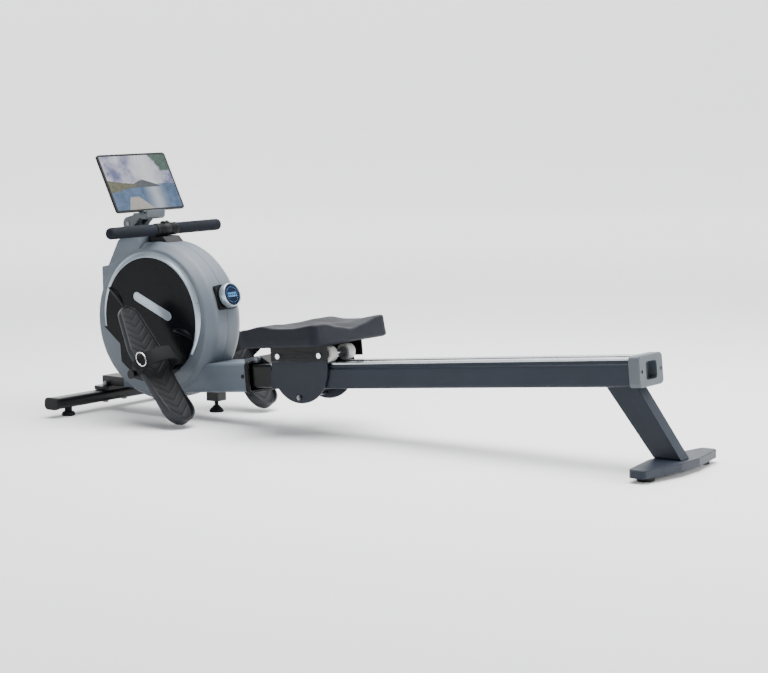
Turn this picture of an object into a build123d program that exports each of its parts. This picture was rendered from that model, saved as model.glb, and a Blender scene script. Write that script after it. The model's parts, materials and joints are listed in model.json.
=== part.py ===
"""Folding magnetic rowing machine, as separate pieces in one frame.

Millimetres. +X runs from the front stabilizer to the rear foot, +Z is up, Z = 0 is the floor,
and Y = 0 is the machine's middle plane. The rower faces -X, so left is -Y.
"""

from build123d import *
import os
from math import cos, radians, sin, tan

os.makedirs("parts", exist_ok=True)

# ---------------------------------------------------------------- driving dimensions
GAP = 0.3  # clearance between pieces that move past each other
RUN = 0.05  # radial clearance of a shaft in its bore

TILT = 4.82  # the rail and the main beam rise towards the rear by this angle
RAIL_BASE_Z = 138.3  # height of the rail's underside line at X = 0
RAIL_WIDTH = 110
RAIL_BODY_HEIGHT = 58
RISER_HEIGHT = 8
TRACK_HEIGHT = 6
RAIL_TOP = RAIL_BODY_HEIGHT + RISER_HEIGHT + TRACK_HEIGHT
TRACK_INNER = 15
TRACK_OUTER = 50
RAIL_START = -302
RAIL_END = 862
CAP_LENGTH = 30

BEAM_WIDTH = 120
BEAM_BOTTOM = -8
BEAM_TOP = 76
BEAM_REAR = -378
BEAM_FRONT = -640
BEAM_WALL = 3

FOLD_PIN = (-366.3, 82.8)  # along and above the rail line
FOLD_PIN_R = 6
KNUCKLE_R = 9.5
DISC_CENTRE = (-193, 183)
DISC_R = 100

DRUM_X, DRUM_Z = -739, 289
CASING_Z, CASING_R = 280, 232  # the casing's round outline sits a little lower than the drum's axis
CASING_FACE_R = 212
SIDE_Y = 75
CREASE_Y = 46
SHELL = 3
RING_OUTER, RING_INNER = 196, 179

FLYWHEEL_R = 140
SPOOL_X, SPOOL_Z = -690, 405
SPOOL_R = 25
GUIDE_X, GUIDE_Z, GUIDE_R = -805, 534, 12
STRAP_WIDTH, STRAP_THICK = 25, 1.6

PEDAL_X, PEDAL_Z = -665, 150
PEDAL_AXLE_R = 8
PEDAL_Y = 182
PEDAL_ANGLE = 52.8  # the sole falls towards the rear by this angle
PEDAL_DROP = 38.6  # from the sole down to the axle
PEDAL_LENGTH = 396

HANDLE_X, HANDLE_Z = -746, 546
HANDLE_LENGTH = 468
GRIP_R = 17

TABLET_PIVOT_X, TABLET_PIVOT_Z = -864, 560
TABLET_PIN_R = 6
TABLET_FOOT_X, TABLET_FOOT_Z = -799.5, 598
TABLET_LEAN = 26.3
TABLET_W, TABLET_H, TABLET_T = 286, 184, 7

STABILIZER_X, STABILIZER_Z = -969, 42
STABILIZER_W, STABILIZER_H = 50, 32.8
FOOT_X = 950

SEAT_FRONT, SEAT_REAR = -330, -34
SEAT_BOTTOM, SEAT_TOP = 126, 184
SEAT_HALF, SEAT_CORNER = 165, 32
CARRIAGE_S = -173
AXLE_OFFSET = 73.8
ROLLER_R = 22.7
AXLE_T = RAIL_TOP + 23

# ---------------------------------------------------------------- planes
RAIL_DIR = (cos(radians(TILT)), 0, sin(radians(TILT)))
RAIL_UP = (-sin(radians(TILT)), 0, cos(radians(TILT)))


def rail_point(along, above=0, across=0):
    """A point given along the rail, above its underside and across it."""
    return (
        along * RAIL_DIR[0] + above * RAIL_UP[0],
        across,
        RAIL_BASE_Z + along * RAIL_DIR[2] + above * RAIL_UP[2],
    )


def rail_section(along):
    """Cross-section plane of the rail: local x is across, local y is up."""
    return Plane(origin=rail_point(along), x_dir=(0, 1, 0), z_dir=RAIL_DIR)


def rail_side(across=0):
    """Side plane of the rail: local x is along, local y is up, and it faces -Y."""
    return Plane(origin=rail_point(0, 0, across), x_dir=RAIL_DIR, z_dir=(0, -1, 0))


def rail_level(above):
    """Plane parallel to the rail's top: local x is along, local y is +Y."""
    return Plane(origin=rail_point(0, above), x_dir=RAIL_DIR, z_dir=RAIL_UP)


def side(across=0):
    """Upright side plane facing -Y, at a chosen Y: local x is X, local y is Z."""
    return Plane(origin=(0, across, 0), x_dir=(1, 0, 0), z_dir=(0, -1, 0))


PEDAL_DIR = (cos(radians(PEDAL_ANGLE)), 0, -sin(radians(PEDAL_ANGLE)))
PEDAL_UP = (sin(radians(PEDAL_ANGLE)), 0, cos(radians(PEDAL_ANGLE)))
PEDAL_CENTRE = (PEDAL_X + PEDAL_DROP * PEDAL_UP[0], 0, PEDAL_Z + PEDAL_DROP * PEDAL_UP[2])


def pedal_level(above, across):
    """Plane parallel to a footplate's sole: local x runs to the heel, local y is +Y."""
    origin = (PEDAL_CENTRE[0] + above * PEDAL_UP[0], across, PEDAL_CENTRE[2] + above * PEDAL_UP[2])
    return Plane(origin=origin, x_dir=PEDAL_DIR, z_dir=PEDAL_UP)


def pedal_side(across):
    """Side plane of a footplate: local x runs to the heel, local y is up from the sole."""
    return Plane(origin=(PEDAL_CENTRE[0], across, PEDAL_CENTRE[2]), x_dir=PEDAL_DIR, z_dir=(0, -1, 0))


TABLET_FRONT = (cos(radians(TABLET_LEAN)), 0, sin(radians(TABLET_LEAN)))


def tablet_plane(forward=0):
    """Plane parallel to the tablet's screen: local x is +Y, local y is up the screen."""
    origin = (
        TABLET_FOOT_X + forward * TABLET_FRONT[0],
        0,
        TABLET_FOOT_Z + forward * TABLET_FRONT[2],
    )
    return Plane(origin=origin, x_dir=(0, 1, 0), z_dir=TABLET_FRONT)


def save(piece, name):
    """Label a finished piece and write its STEP file."""
    piece.part.label = name
    export_step(piece.part, f"parts/{name}.step")


def mirrored(piece):
    """The same piece on the other side of the machine's middle plane."""
    with BuildPart() as twin:
        mirror(piece.part, about=Plane.XZ)
    return twin


# ---------------------------------------------------------------- main frame
CHASSIS_PLATES = ((-60, -56), (-32, -28), (56, 60))  # Y of each plate's two faces
PLATE_FOOT_Z, PLATE_FOOT_LENGTH, PLATE_FOOT_HEIGHT = 122, 120, 54
NECK_BOTTOM, NECK_TOP = 70, 98
NECK_FRONT, NECK_REAR, NECK_WIDTH = -990, -640, 60
MAST_HALF = 10
MAST_FOOT_WIDTH, MAST_FOOT_HEIGHT = 44, 22
CHASSIS_FOOT_DEPTH = MAST_HALF - CHASSIS_PLATES[1][0]  # from the mast out to the middle plate
BARREL_R = 17
LOCK_S, LOCK_T = -401, 37.5
LOCK_PIN_R = 5
LEVEL_X = -558
LEVEL_SCREW_R = 6
EAR_INNER, EAR_OUTER = 24.5, 34
FLYWHEEL_AXLE_R = 8
SPOOL_AXLE_R = 6
BEARING_R = 16
BRAKE_PIVOT = (-828, 462)
BRAKE_STUD_R, BRAKE_STUD_LENGTH = 5, 58
GUIDE_FOOT = (-828, 500)
GUIDE_STUD_R = 4
CHEEK_FAR, CHEEK_THICK, CHEEK_R = 20, 3.5, 8
SOCKET_FAR, SOCKET_DEPTH, SOCKET_R = 75, 18, 11
LEVEL_BLOCK, LEVEL_BLOCK_BOTTOM, LEVEL_BLOCK_HEIGHT = 44, 54, 36

with BuildPart() as main_frame:
    # rear beam: a rectangular tube, open at its rear end
    with BuildSketch(rail_section(BEAM_FRONT)):
        with Locations((0, (BEAM_TOP + BEAM_BOTTOM) / 2)):
            RectangleRounded(BEAM_WIDTH, BEAM_TOP - BEAM_BOTTOM, 10)
            RectangleRounded(
                BEAM_WIDTH - 2 * BEAM_WALL,
                BEAM_TOP - BEAM_BOTTOM - 2 * BEAM_WALL,
                10 - BEAM_WALL,
                mode=Mode.SUBTRACT,
            )
    extrude(amount=BEAM_REAR - BEAM_FRONT)
    # neck that carries the front stabilizer
    with BuildSketch(Plane.XY.offset(NECK_BOTTOM)):
        with Locations(((NECK_FRONT + NECK_REAR) / 2, 0)):
            Rectangle(NECK_REAR - NECK_FRONT, NECK_WIDTH)
    extrude(amount=NECK_TOP - NECK_BOTTOM)
    # three plates that carry the axles inside the casing
    for inner, outer in CHASSIS_PLATES:
        with BuildSketch(side(outer)):
            with Locations((PEDAL_X, PEDAL_Z), (DRUM_X, DRUM_Z)):
                Circle(28)
            with Locations((SPOOL_X, SPOOL_Z)):
                Circle(24)
            make_hull()
            with Locations((PEDAL_X, PLATE_FOOT_Z)):
                Rectangle(PLATE_FOOT_LENGTH, PLATE_FOOT_HEIGHT)
        extrude(amount=outer - inner)
    # tie between the plates, under the flywheel
    with BuildSketch(side(60)):
        with Locations((PEDAL_X - 15, 112)):
            Rectangle(60, 20)
    extrude(amount=120)
    # mast for the tablet holder, on its own foot from the middle plate
    with BuildSketch(side(MAST_HALF)):
        with BuildLine():
            Polyline(
                (DRUM_X - 4, DRUM_Z + 14),
                (DRUM_X + 14, DRUM_Z + 24),
                (-818, 470),
                (TABLET_PIVOT_X + BARREL_R, TABLET_PIVOT_Z),
                (TABLET_PIVOT_X - BARREL_R, TABLET_PIVOT_Z),
                (-850, 470),
                close=True,
            )
        make_face()
        with Locations((TABLET_PIVOT_X, TABLET_PIVOT_Z)):
            Circle(BARREL_R)
    extrude(amount=2 * MAST_HALF)
    with BuildSketch(side(MAST_HALF)):
        with Locations((DRUM_X, DRUM_Z + 24)):
            Rectangle(MAST_FOOT_WIDTH, MAST_FOOT_HEIGHT)
    extrude(amount=CHASSIS_FOOT_DEPTH)
    # stud that the magnet bracket swings on
    with BuildSketch(side()):
        with Locations(BRAKE_PIVOT):
            Circle(BRAKE_STUD_R)
    extrude(amount=BRAKE_STUD_LENGTH)
    # cheeks and stud of the strap's guide roller
    for face in (CHEEK_FAR, CHEEK_THICK - CHEEK_FAR):
        with BuildSketch(side(face)):
            with Locations((GUIDE_X, GUIDE_Z), GUIDE_FOOT):
                Circle(CHEEK_R)
            make_hull()
        extrude(amount=CHEEK_THICK)
    with BuildSketch(side(CHEEK_FAR)):
        with Locations((GUIDE_X, GUIDE_Z)):
            Circle(GUIDE_STUD_R)
        with Locations(GUIDE_FOOT):
            Rectangle(14, 12)
    extrude(amount=2 * CHEEK_FAR)
    # ears of the fold hinge
    for near in (EAR_OUTER, -EAR_INNER):
        with BuildSketch(rail_side(near)):
            with Locations(FOLD_PIN):
                Circle(KNUCKLE_R)
            with Locations((FOLD_PIN[0] - 34, BEAM_TOP + 4)):
                Rectangle(24, 8)
            make_hull()
        extrude(amount=EAR_OUTER - EAR_INNER)
    # socket of the lock pin on the right side of the beam
    with BuildSketch(rail_side(SOCKET_FAR)):
        with Locations((LOCK_S, LOCK_T)):
            Circle(SOCKET_R)
    extrude(amount=SOCKET_DEPTH)
    # block under the beam for the levelling screw
    with BuildSketch(Plane.XY.offset(LEVEL_BLOCK_BOTTOM)):
        with Locations((LEVEL_X, 0)):
            RectangleRounded(LEVEL_BLOCK, LEVEL_BLOCK, 6)
    extrude(amount=LEVEL_BLOCK_HEIGHT)
    # bores, each cut from beyond the frame's far side
    with BuildSketch(rail_side(80)):
        with Locations((LOCK_S, LOCK_T)):
            Circle(LOCK_PIN_R + RUN)
    extrude(amount=40, mode=Mode.SUBTRACT)
    with BuildSketch(rail_side(50)):
        with Locations(FOLD_PIN):
            Circle(FOLD_PIN_R)
    extrude(amount=100, mode=Mode.SUBTRACT)
    with BuildSketch(side(70)):
        with Locations((PEDAL_X, PEDAL_Z)):
            Circle(PEDAL_AXLE_R)
        with Locations((DRUM_X, DRUM_Z), (SPOOL_X, SPOOL_Z)):
            Circle(BEARING_R)
    extrude(amount=140, mode=Mode.SUBTRACT)
    with BuildSketch(side(MAST_HALF)):
        with Locations((TABLET_PIVOT_X, TABLET_PIVOT_Z)):
            Circle(TABLET_PIN_R)
    extrude(amount=2 * MAST_HALF, mode=Mode.SUBTRACT)
    with BuildSketch(Plane.XY.offset(50)):
        with Locations((LEVEL_X, 0)):
            Circle(LEVEL_SCREW_R + RUN)
    extrude(amount=60, mode=Mode.SUBTRACT)
save(main_frame, "main_frame")

# ---------------------------------------------------------------- front stabilizer
STABILIZER_HALF = 255
STABILIZER_TOP = STABILIZER_Z + STABILIZER_H / 2
STABILIZER_BOTTOM = STABILIZER_Z - STABILIZER_H / 2
STABILIZER_WALL = 2.5
BOLT_Y = 40
BOLT_R, BOLT_HOLE_R = 4, 4.1
BOLT_HEAD_BOTTOM, BOLT_HEAD_R = 20, 9
SADDLE_LENGTH = 124
FRONT_FOOT_Y = 195
FOOT_PAD_HEIGHT, FOOT_PAD_R, FOOT_STEM_R = 12, 20, 11
CAP_OVERHANG, CAP_DEPTH = 3, 10
ON_FLOOR = (Align.CENTER, Align.CENTER, Align.MIN)

with BuildPart() as stabilizer_bracket:
    with BuildSketch(Plane.XY.offset(STABILIZER_TOP)):
        with Locations((STABILIZER_X, 0)):
            RectangleRounded(STABILIZER_W + 6, SADDLE_LENGTH, 8)
    extrude(amount=NECK_BOTTOM - STABILIZER_TOP)
    with Locations((STABILIZER_X, -BOLT_Y), (STABILIZER_X, BOLT_Y)):
        with Locations((0, 0, 60)):
            Cylinder(BOLT_HOLE_R, 40, mode=Mode.SUBTRACT)
save(stabilizer_bracket, "stabilizer_bracket")

with BuildPart() as front_stabilizer:
    with BuildSketch(side(STABILIZER_HALF)):
        with Locations((STABILIZER_X, STABILIZER_Z)):
            RectangleRounded(STABILIZER_W, STABILIZER_H, 12)
            RectangleRounded(
                STABILIZER_W - 2 * STABILIZER_WALL,
                STABILIZER_H - 2 * STABILIZER_WALL,
                12 - STABILIZER_WALL,
                mode=Mode.SUBTRACT,
            )
    extrude(amount=2 * STABILIZER_HALF)
    with Locations((STABILIZER_X, -BOLT_Y, STABILIZER_Z), (STABILIZER_X, BOLT_Y, STABILIZER_Z)):
        Cylinder(BOLT_HOLE_R, 60, mode=Mode.SUBTRACT)
save(front_stabilizer, "front_stabilizer")

with BuildPart() as stabilizer_end_caps:
    for end in (-1, 1):
        tube_end = (STABILIZER_X, end * STABILIZER_HALF, STABILIZER_Z)
        with BuildSketch(Plane(origin=tube_end, x_dir=(1, 0, 0), z_dir=(0, end, 0))):
            RectangleRounded(STABILIZER_W + CAP_OVERHANG, STABILIZER_H + CAP_OVERHANG, 13)
        extrude(amount=CAP_DEPTH)
save(stabilizer_end_caps, "stabilizer_end_caps")

with BuildPart() as stabilizer_feet:
    for end in (-1, 1):
        with Locations((STABILIZER_X, end * FRONT_FOOT_Y, 0)):
            Cone(FOOT_PAD_R, FOOT_PAD_R - 3, FOOT_PAD_HEIGHT, align=ON_FLOOR)
            with Locations((0, 0, FOOT_PAD_HEIGHT)):
                Cylinder(FOOT_STEM_R, STABILIZER_BOTTOM - FOOT_PAD_HEIGHT, align=ON_FLOOR)
save(stabilizer_feet, "stabilizer_feet")

NUT_R, NUT_HEIGHT = 7, 10
BOLT_TOP = NECK_BOTTOM + NUT_HEIGHT
with BuildPart() as stabilizer_bolts:
    for end in (-1, 1):
        with Locations((STABILIZER_X, end * BOLT_Y, BOLT_HEAD_BOTTOM)):
            Cylinder(BOLT_R, BOLT_TOP - BOLT_HEAD_BOTTOM, align=ON_FLOOR)
            Cylinder(BOLT_HEAD_R, STABILIZER_BOTTOM - BOLT_HEAD_BOTTOM, align=ON_FLOOR)
        with Locations((STABILIZER_X, end * BOLT_Y, NECK_BOTTOM)):
            Cylinder(NUT_R, NUT_HEIGHT, align=ON_FLOOR)
        with Locations((STABILIZER_X, end * BOLT_Y, BOLT_TOP)):
            Sphere(NUT_R - 0.5, arc_size1=0)
save(stabilizer_bolts, "stabilizer_bolts")


# ---------------------------------------------------------------- casing
def drum_profile(radius, face_radius, crease, face):
    """Half section of the drum: radius across, local y is the distance from the middle plane."""
    return ((0, 0), (radius, 0), (radius, -crease), (face_radius, -face), (0, -face))


# side outline of the column that rises from the drum to the tablet's pivot
COLUMN_OUTLINE = (
    (-937, 384),
    (-937, 433),
    (-911, 438),
    (-868, 514),
    (-846, 540),
    (-835, 552),
    (-785, 552),
    (-783, 500),
    (-739, 480),
    (-739, 384),
)


CASING_PLANE = Plane(origin=(DRUM_X, 0, CASING_Z), x_dir=(1, 0, 0), z_dir=(0, 0, 1))
CASING_AXIS = Axis((DRUM_X, 0, CASING_Z), (0, 1, 0))
CASING_GAP = 1  # between the casing and what passes through it
CUT = 100  # size of a cut that only has to be larger than what it cuts
INNER_PROFILE = drum_profile(CASING_R - SHELL, CASING_FACE_R - SHELL, CREASE_Y - 1, SIDE_Y - SHELL)
OUTER_PROFILE = drum_profile(CASING_R, CASING_FACE_R, CREASE_Y, SIDE_Y)

with BuildPart() as casing_core:
    with BuildSketch(CASING_PLANE):
        with BuildLine():
            Polyline(*INNER_PROFILE, close=True)
        make_face()
    revolve(axis=CASING_AXIS)
    with BuildSketch(side()):
        with BuildLine():
            Polyline(*COLUMN_OUTLINE, close=True)
        make_face()
        offset(amount=-SHELL, kind=Kind.INTERSECTION)
    extrude(amount=SIDE_Y - SHELL - 3)

with BuildPart() as housing_left:
    with BuildSketch(CASING_PLANE):
        with BuildLine():
            Polyline(*OUTER_PROFILE, close=True)
        make_face()
    revolve(axis=CASING_AXIS)
    with BuildSketch(side()):
        with BuildLine():
            Polyline(*COLUMN_OUTLINE, close=True)
        make_face()
    extrude(amount=SIDE_Y - 3)
    # the column narrows towards its top
    with BuildSketch(Plane.YZ.offset(-950)):
        with BuildLine():
            Polyline((-SIDE_Y - 5, 505), (-40, 560), (-SIDE_Y - 5, 560), close=True)
        make_face()
    extrude(amount=300, mode=Mode.SUBTRACT)
    # the shell stops at the middle plane
    with BuildSketch(side(CUT)):
        with Locations((DRUM_X, DRUM_Z)):
            Rectangle(10 * CUT, 10 * CUT)
    extrude(amount=CUT, mode=Mode.SUBTRACT)
    add(casing_core.part, mode=Mode.SUBTRACT)
    # holes for the beam, neck, pedal axle, mast and strap
    with BuildSketch(rail_section(BEAM_FRONT - 32)):
        with Locations((0, (BEAM_TOP + BEAM_BOTTOM) / 2)):
            Rectangle(BEAM_WIDTH + 2 * CASING_GAP, BEAM_TOP - BEAM_BOTTOM + 2 * CASING_GAP)
    extrude(amount=200, mode=Mode.SUBTRACT)
    with BuildSketch(Plane.YZ.offset(NECK_FRONT - 10)):
        with Locations((0, (NECK_BOTTOM + NECK_TOP) / 2)):
            Rectangle(NECK_WIDTH + 4 * CASING_GAP, NECK_TOP - NECK_BOTTOM + 4 * CASING_GAP)
    extrude(amount=NECK_REAR - NECK_FRONT + 20, mode=Mode.SUBTRACT)
    with BuildSketch(side()):
        with Locations((PEDAL_X, PEDAL_Z)):
            Circle(PEDAL_AXLE_R + CASING_GAP)
    extrude(amount=100, mode=Mode.SUBTRACT)
    with BuildSketch(side()):
        with Locations((-865, 530)):
            Rectangle(60, 70)
    extrude(amount=MAST_HALF + CASING_GAP, mode=Mode.SUBTRACT)
    with BuildSketch(side()):
        with Locations((-780, HANDLE_Z)):
            Rectangle(30, 8)
    extrude(amount=17, mode=Mode.SUBTRACT)
    # the levelling screw's block
    with BuildSketch(side()):
        with Locations((LEVEL_X, 70)):
            Rectangle(LEVEL_BLOCK + 6, 60)
    extrude(amount=LEVEL_BLOCK / 2 + 2 * CASING_GAP, mode=Mode.SUBTRACT)
save(housing_left, "housing_left")
housing_right = mirrored(housing_left)
save(housing_right, "housing_right")

# the cover leaves the casing bare at its lower front
COVER_NOTCH = ((-960, 270), (-926, 256), (-862, 207), (-861, 183), (-853, 90), (-960, 90))
COVER_THICK = 5
with BuildPart() as side_cover_left:
    with BuildSketch(side(-SIDE_Y)):
        with Locations((DRUM_X, DRUM_Z)):
            Circle(RING_INNER - 0.5)
        with BuildLine():
            Polyline(*COVER_NOTCH, close=True)
        make_face(mode=Mode.SUBTRACT)
        with Locations((PEDAL_X, PEDAL_Z)):
            Circle(PEDAL_AXLE_R + CASING_GAP, mode=Mode.SUBTRACT)
    extrude(amount=COVER_THICK)
save(side_cover_left, "side_cover_left")
save(mirrored(side_cover_left), "side_cover_right")

RING_START, RING_SWEEP = -31, 221
RING_THICK = 7
with BuildPart() as trim_rings:
    for face in (-SIDE_Y, SIDE_Y + RING_THICK):
        with BuildSketch(side(face)):
            with BuildLine():
                outer = CenterArc((DRUM_X, DRUM_Z), RING_OUTER, RING_START, RING_SWEEP)
                inner = CenterArc((DRUM_X, DRUM_Z), RING_INNER, RING_START, RING_SWEEP)
                Line(outer @ 0, inner @ 0)
                Line(outer @ 1, inner @ 1)
            make_face()
        extrude(amount=RING_THICK)
save(trim_rings, "trim_rings")

BADGE_MIDDLE, BADGE_ANGLE, BADGE_THICK = (-728, 326), -23, 2
with BuildPart() as side_badges:
    for face in (-SIDE_Y - COVER_THICK, SIDE_Y + COVER_THICK + BADGE_THICK):
        with BuildSketch(side(face)):
            with Locations(Location(BADGE_MIDDLE, BADGE_ANGLE)):
                SlotOverall(158, 27)
        extrude(amount=BADGE_THICK)
save(side_badges, "side_badges")

# ---------------------------------------------------------------- handlebar cradle
CRADLE_HALF = 36
CRADLE_TOP = HANDLE_Z - GRIP_R - 2 - 0.5
with BuildPart() as handlebar_cradle:
    with BuildSketch(side(CRADLE_HALF)):
        with BuildLine():
            Polyline(
                (-781, 500),
                (-781, HANDLE_Z - 10),
                (-772, HANDLE_Z - 10),
                (-764, CRADLE_TOP),
                (-722, CRADLE_TOP),
                (-700, 505),
                (-700, 495),
                close=True,
            )
        make_face()
    extrude(amount=2 * CRADLE_HALF)
    with Locations(Location((DRUM_X, 0, CASING_Z), (90, 0, 0))):
        Cylinder(CASING_R, 200, mode=Mode.SUBTRACT)
save(handlebar_cradle, "handlebar_cradle")

# ---------------------------------------------------------------- console and resistance knob
KNOB_OUTER, KNOB_INNER = 35, 31
# distances from the drum's axis along the console's own axis
CONSOLE_FACE, KNOB_FRONT, KNOB_REAR = 237, 242, 263
HUB_R = KNOB_INNER - RUN
DISPLAY_FACE = KNOB_REAR - 2
CONSOLE_ANGLE = 17.2  # the console looks up at the rower by this many degrees


def console_plane(distance):
    """Plane across the console's axis, at a distance from the drum's axis."""
    ahead = (cos(radians(CONSOLE_ANGLE)), sin(radians(CONSOLE_ANGLE)))
    origin = (DRUM_X + distance * ahead[0], 0, DRUM_Z + distance * ahead[1])
    return Plane(origin=origin, x_dir=(0, 1, 0), z_dir=(ahead[0], 0, ahead[1]))


CONSOLE_START, CONSOLE_SIZE = 190, 72
with BuildPart() as console_base:
    with BuildSketch(console_plane(CONSOLE_START)):
        RectangleRounded(CONSOLE_SIZE, CONSOLE_SIZE, 8)
    extrude(amount=CONSOLE_FACE - CONSOLE_START)
    with BuildSketch(console_plane(CONSOLE_FACE)):
        Circle(HUB_R)
    extrude(amount=DISPLAY_FACE - CONSOLE_FACE)
    with Locations(Location((DRUM_X, 0, CASING_Z), (90, 0, 0))):
        Cylinder(CASING_R, 200, mode=Mode.SUBTRACT)
save(console_base, "console_base")

with BuildPart() as console_display:
    with BuildSketch(console_plane(DISPLAY_FACE)):
        Circle(KNOB_INNER - 0.5)
    extrude(amount=1.5)
save(console_display, "console_display")

with BuildPart() as resistance_knob:
    with BuildSketch(console_plane(KNOB_FRONT)):
        Circle(KNOB_OUTER)
        Circle(KNOB_INNER, mode=Mode.SUBTRACT)
    extrude(amount=KNOB_REAR - KNOB_FRONT)
    outer_edge = resistance_knob.edges().filter_by(GeomType.CIRCLE).group_by(Axis.X)[-1]
    chamfer(outer_edge.sort_by(SortBy.RADIUS)[-1], 1.5)
save(resistance_knob, "resistance_knob")

# ---------------------------------------------------------------- drive train inside the casing
with BuildPart() as drive_axles:
    for x, z, radius, length in (
        (DRUM_X, DRUM_Z, FLYWHEEL_AXLE_R, 128),
        (SPOOL_X, SPOOL_Z, SPOOL_AXLE_R, 98),
    ):
        with BuildSketch(side(64)):
            with Locations((x, z)):
                Circle(radius)
        extrude(amount=length)
save(drive_axles, "drive_axles")

with BuildPart() as axle_bearings:
    for x, z, bore, plates in (
        (DRUM_X, DRUM_Z, FLYWHEEL_AXLE_R, CHASSIS_PLATES),
        (SPOOL_X, SPOOL_Z, SPOOL_AXLE_R, CHASSIS_PLATES[1:]),
    ):
        for inner, outer in plates:
            with BuildSketch(side(outer)):
                with Locations((x, z)):
                    Circle(BEARING_R)
                    Circle(bore, mode=Mode.SUBTRACT)
            extrude(amount=outer - inner)
save(axle_bearings, "axle_bearings")

RIM_WIDTH, RIM_THICK, WEB_THICK = 28, 14, 6
with BuildPart() as flywheel:
    with BuildSketch(side(-38)):
        with Locations((DRUM_X, DRUM_Z)):
            Circle(FLYWHEEL_R)
            Circle(FLYWHEEL_R - RIM_WIDTH, mode=Mode.SUBTRACT)
    extrude(amount=RIM_THICK)
    # web with six lightening holes
    with BuildSketch(side(-42)):
        with Locations((DRUM_X, DRUM_Z)):
            Circle(FLYWHEEL_R - RIM_WIDTH + 1)
            Circle(FLYWHEEL_AXLE_R + RUN, mode=Mode.SUBTRACT)
            with PolarLocations(70, 6):
                Circle(20, mode=Mode.SUBTRACT)
    extrude(amount=WEB_THICK)
    # hub
    with BuildSketch(side(-36)):
        with Locations((DRUM_X, DRUM_Z)):
            Circle(22)
            Circle(FLYWHEEL_AXLE_R + RUN, mode=Mode.SUBTRACT)
    extrude(amount=RIM_THICK + 4)
save(flywheel, "flywheel")

PULLEY_FAR = 42
FLY_PULLEY_R, DRIVE_PULLEY_R = 20, 78
BELT_NEAR, BELT_FAR, BELT_THICK = 32, 40, 2

with BuildPart() as flywheel_pulley:
    for face, width, radius in (
        (PULLEY_FAR, 2, FLY_PULLEY_R + 3),
        (BELT_FAR, 8, FLY_PULLEY_R),
        (BELT_NEAR, 2, FLY_PULLEY_R + 3),
    ):
        with BuildSketch(side(face)):
            with Locations((DRUM_X, DRUM_Z)):
                Circle(radius)
                Circle(FLYWHEEL_AXLE_R + RUN, mode=Mode.SUBTRACT)
        extrude(amount=width)
save(flywheel_pulley, "flywheel_pulley")

with BuildPart() as drive_pulley:
    for face, width, radius in (
        (PULLEY_FAR, 2, DRIVE_PULLEY_R + 3),
        (BELT_FAR, 8, DRIVE_PULLEY_R),
        (BELT_NEAR, 2, DRIVE_PULLEY_R + 3),
    ):
        with BuildSketch(side(face)):
            with Locations((SPOOL_X, SPOOL_Z)):
                Circle(radius)
                Circle(SPOOL_AXLE_R + RUN, mode=Mode.SUBTRACT)
                with PolarLocations(45, 5):
                    Circle(16, mode=Mode.SUBTRACT)
        extrude(amount=width)
save(drive_pulley, "drive_pulley")

with BuildPart() as spool:
    for face, width, radius in ((18, 2, SPOOL_R + 8), (16, 32, SPOOL_R - 3), (-16, 2, SPOOL_R + 8)):
        with BuildSketch(side(face)):
            with Locations((SPOOL_X, SPOOL_Z)):
                Circle(radius)
                Circle(SPOOL_AXLE_R + RUN, mode=Mode.SUBTRACT)
        extrude(amount=width)
save(spool, "spool")

with BuildPart() as drive_belt:
    with BuildSketch(side(BELT_FAR)):
        with Locations((DRUM_X, DRUM_Z)):
            Circle(FLY_PULLEY_R + GAP + BELT_THICK)
        with Locations((SPOOL_X, SPOOL_Z)):
            Circle(DRIVE_PULLEY_R + GAP + BELT_THICK)
        make_hull()
        offset(amount=-BELT_THICK, mode=Mode.SUBTRACT)
    extrude(amount=BELT_FAR - BELT_NEAR)
save(drive_belt, "drive_belt")

with BuildPart() as return_spring:
    with BuildSketch(side(-20)):
        with Locations((SPOOL_X, SPOOL_Z)):
            Circle(38)
            Circle(14, mode=Mode.SUBTRACT)
    extrude(amount=7.5)
save(return_spring, "return_spring")

MAGNET_INNER, MAGNET_OUTER = 146, 158
BRACKET_THICK = 8
ARC_START, ARC_SWEEP = 112, 96

with BuildPart() as magnet_bracket:
    with BuildSketch(side(-36)):
        with Locations(BRAKE_PIVOT):
            Circle(11)
        with Locations(Location((DRUM_X, DRUM_Z), ARC_START + 6)):
            with Locations((MAGNET_OUTER + BRACKET_THICK / 2, 0)):
                Circle(BRACKET_THICK / 2)
        make_hull()
        with BuildLine():
            outer = CenterArc((DRUM_X, DRUM_Z), MAGNET_OUTER + BRACKET_THICK, ARC_START, ARC_SWEEP)
            inner = CenterArc((DRUM_X, DRUM_Z), MAGNET_OUTER, ARC_START, ARC_SWEEP)
            Line(outer @ 0, inner @ 0)
            Line(outer @ 1, inner @ 1)
        make_face()
        with Locations(BRAKE_PIVOT):
            Circle(BRAKE_STUD_R + RUN, mode=Mode.SUBTRACT)
    extrude(amount=18)
save(magnet_bracket, "magnet_bracket")

MAGNET_ANGLES = (130, 145, 160, 175, 190, 204)
with BuildPart() as brake_magnets:
    with BuildSketch(side(-37)):
        for angle in MAGNET_ANGLES:
            with BuildLine():
                outer = CenterArc((DRUM_X, DRUM_Z), MAGNET_OUTER, angle - 4, 8)
                inner = CenterArc((DRUM_X, DRUM_Z), MAGNET_INNER, angle - 4, 8)
                Line(outer @ 0, inner @ 0)
                Line(outer @ 1, inner @ 1)
            make_face()
    extrude(amount=16)
save(brake_magnets, "brake_magnets")

# ---------------------------------------------------------------- strap and its guide roller
with BuildPart() as guide_roller:
    with BuildSketch(side(15.5)):
        with Locations((GUIDE_X, GUIDE_Z)):
            Circle(GUIDE_R - STRAP_THICK - GAP)
            Circle(GUIDE_STUD_R + RUN, mode=Mode.SUBTRACT)
    extrude(amount=31)
save(guide_roller, "guide_roller")

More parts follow.
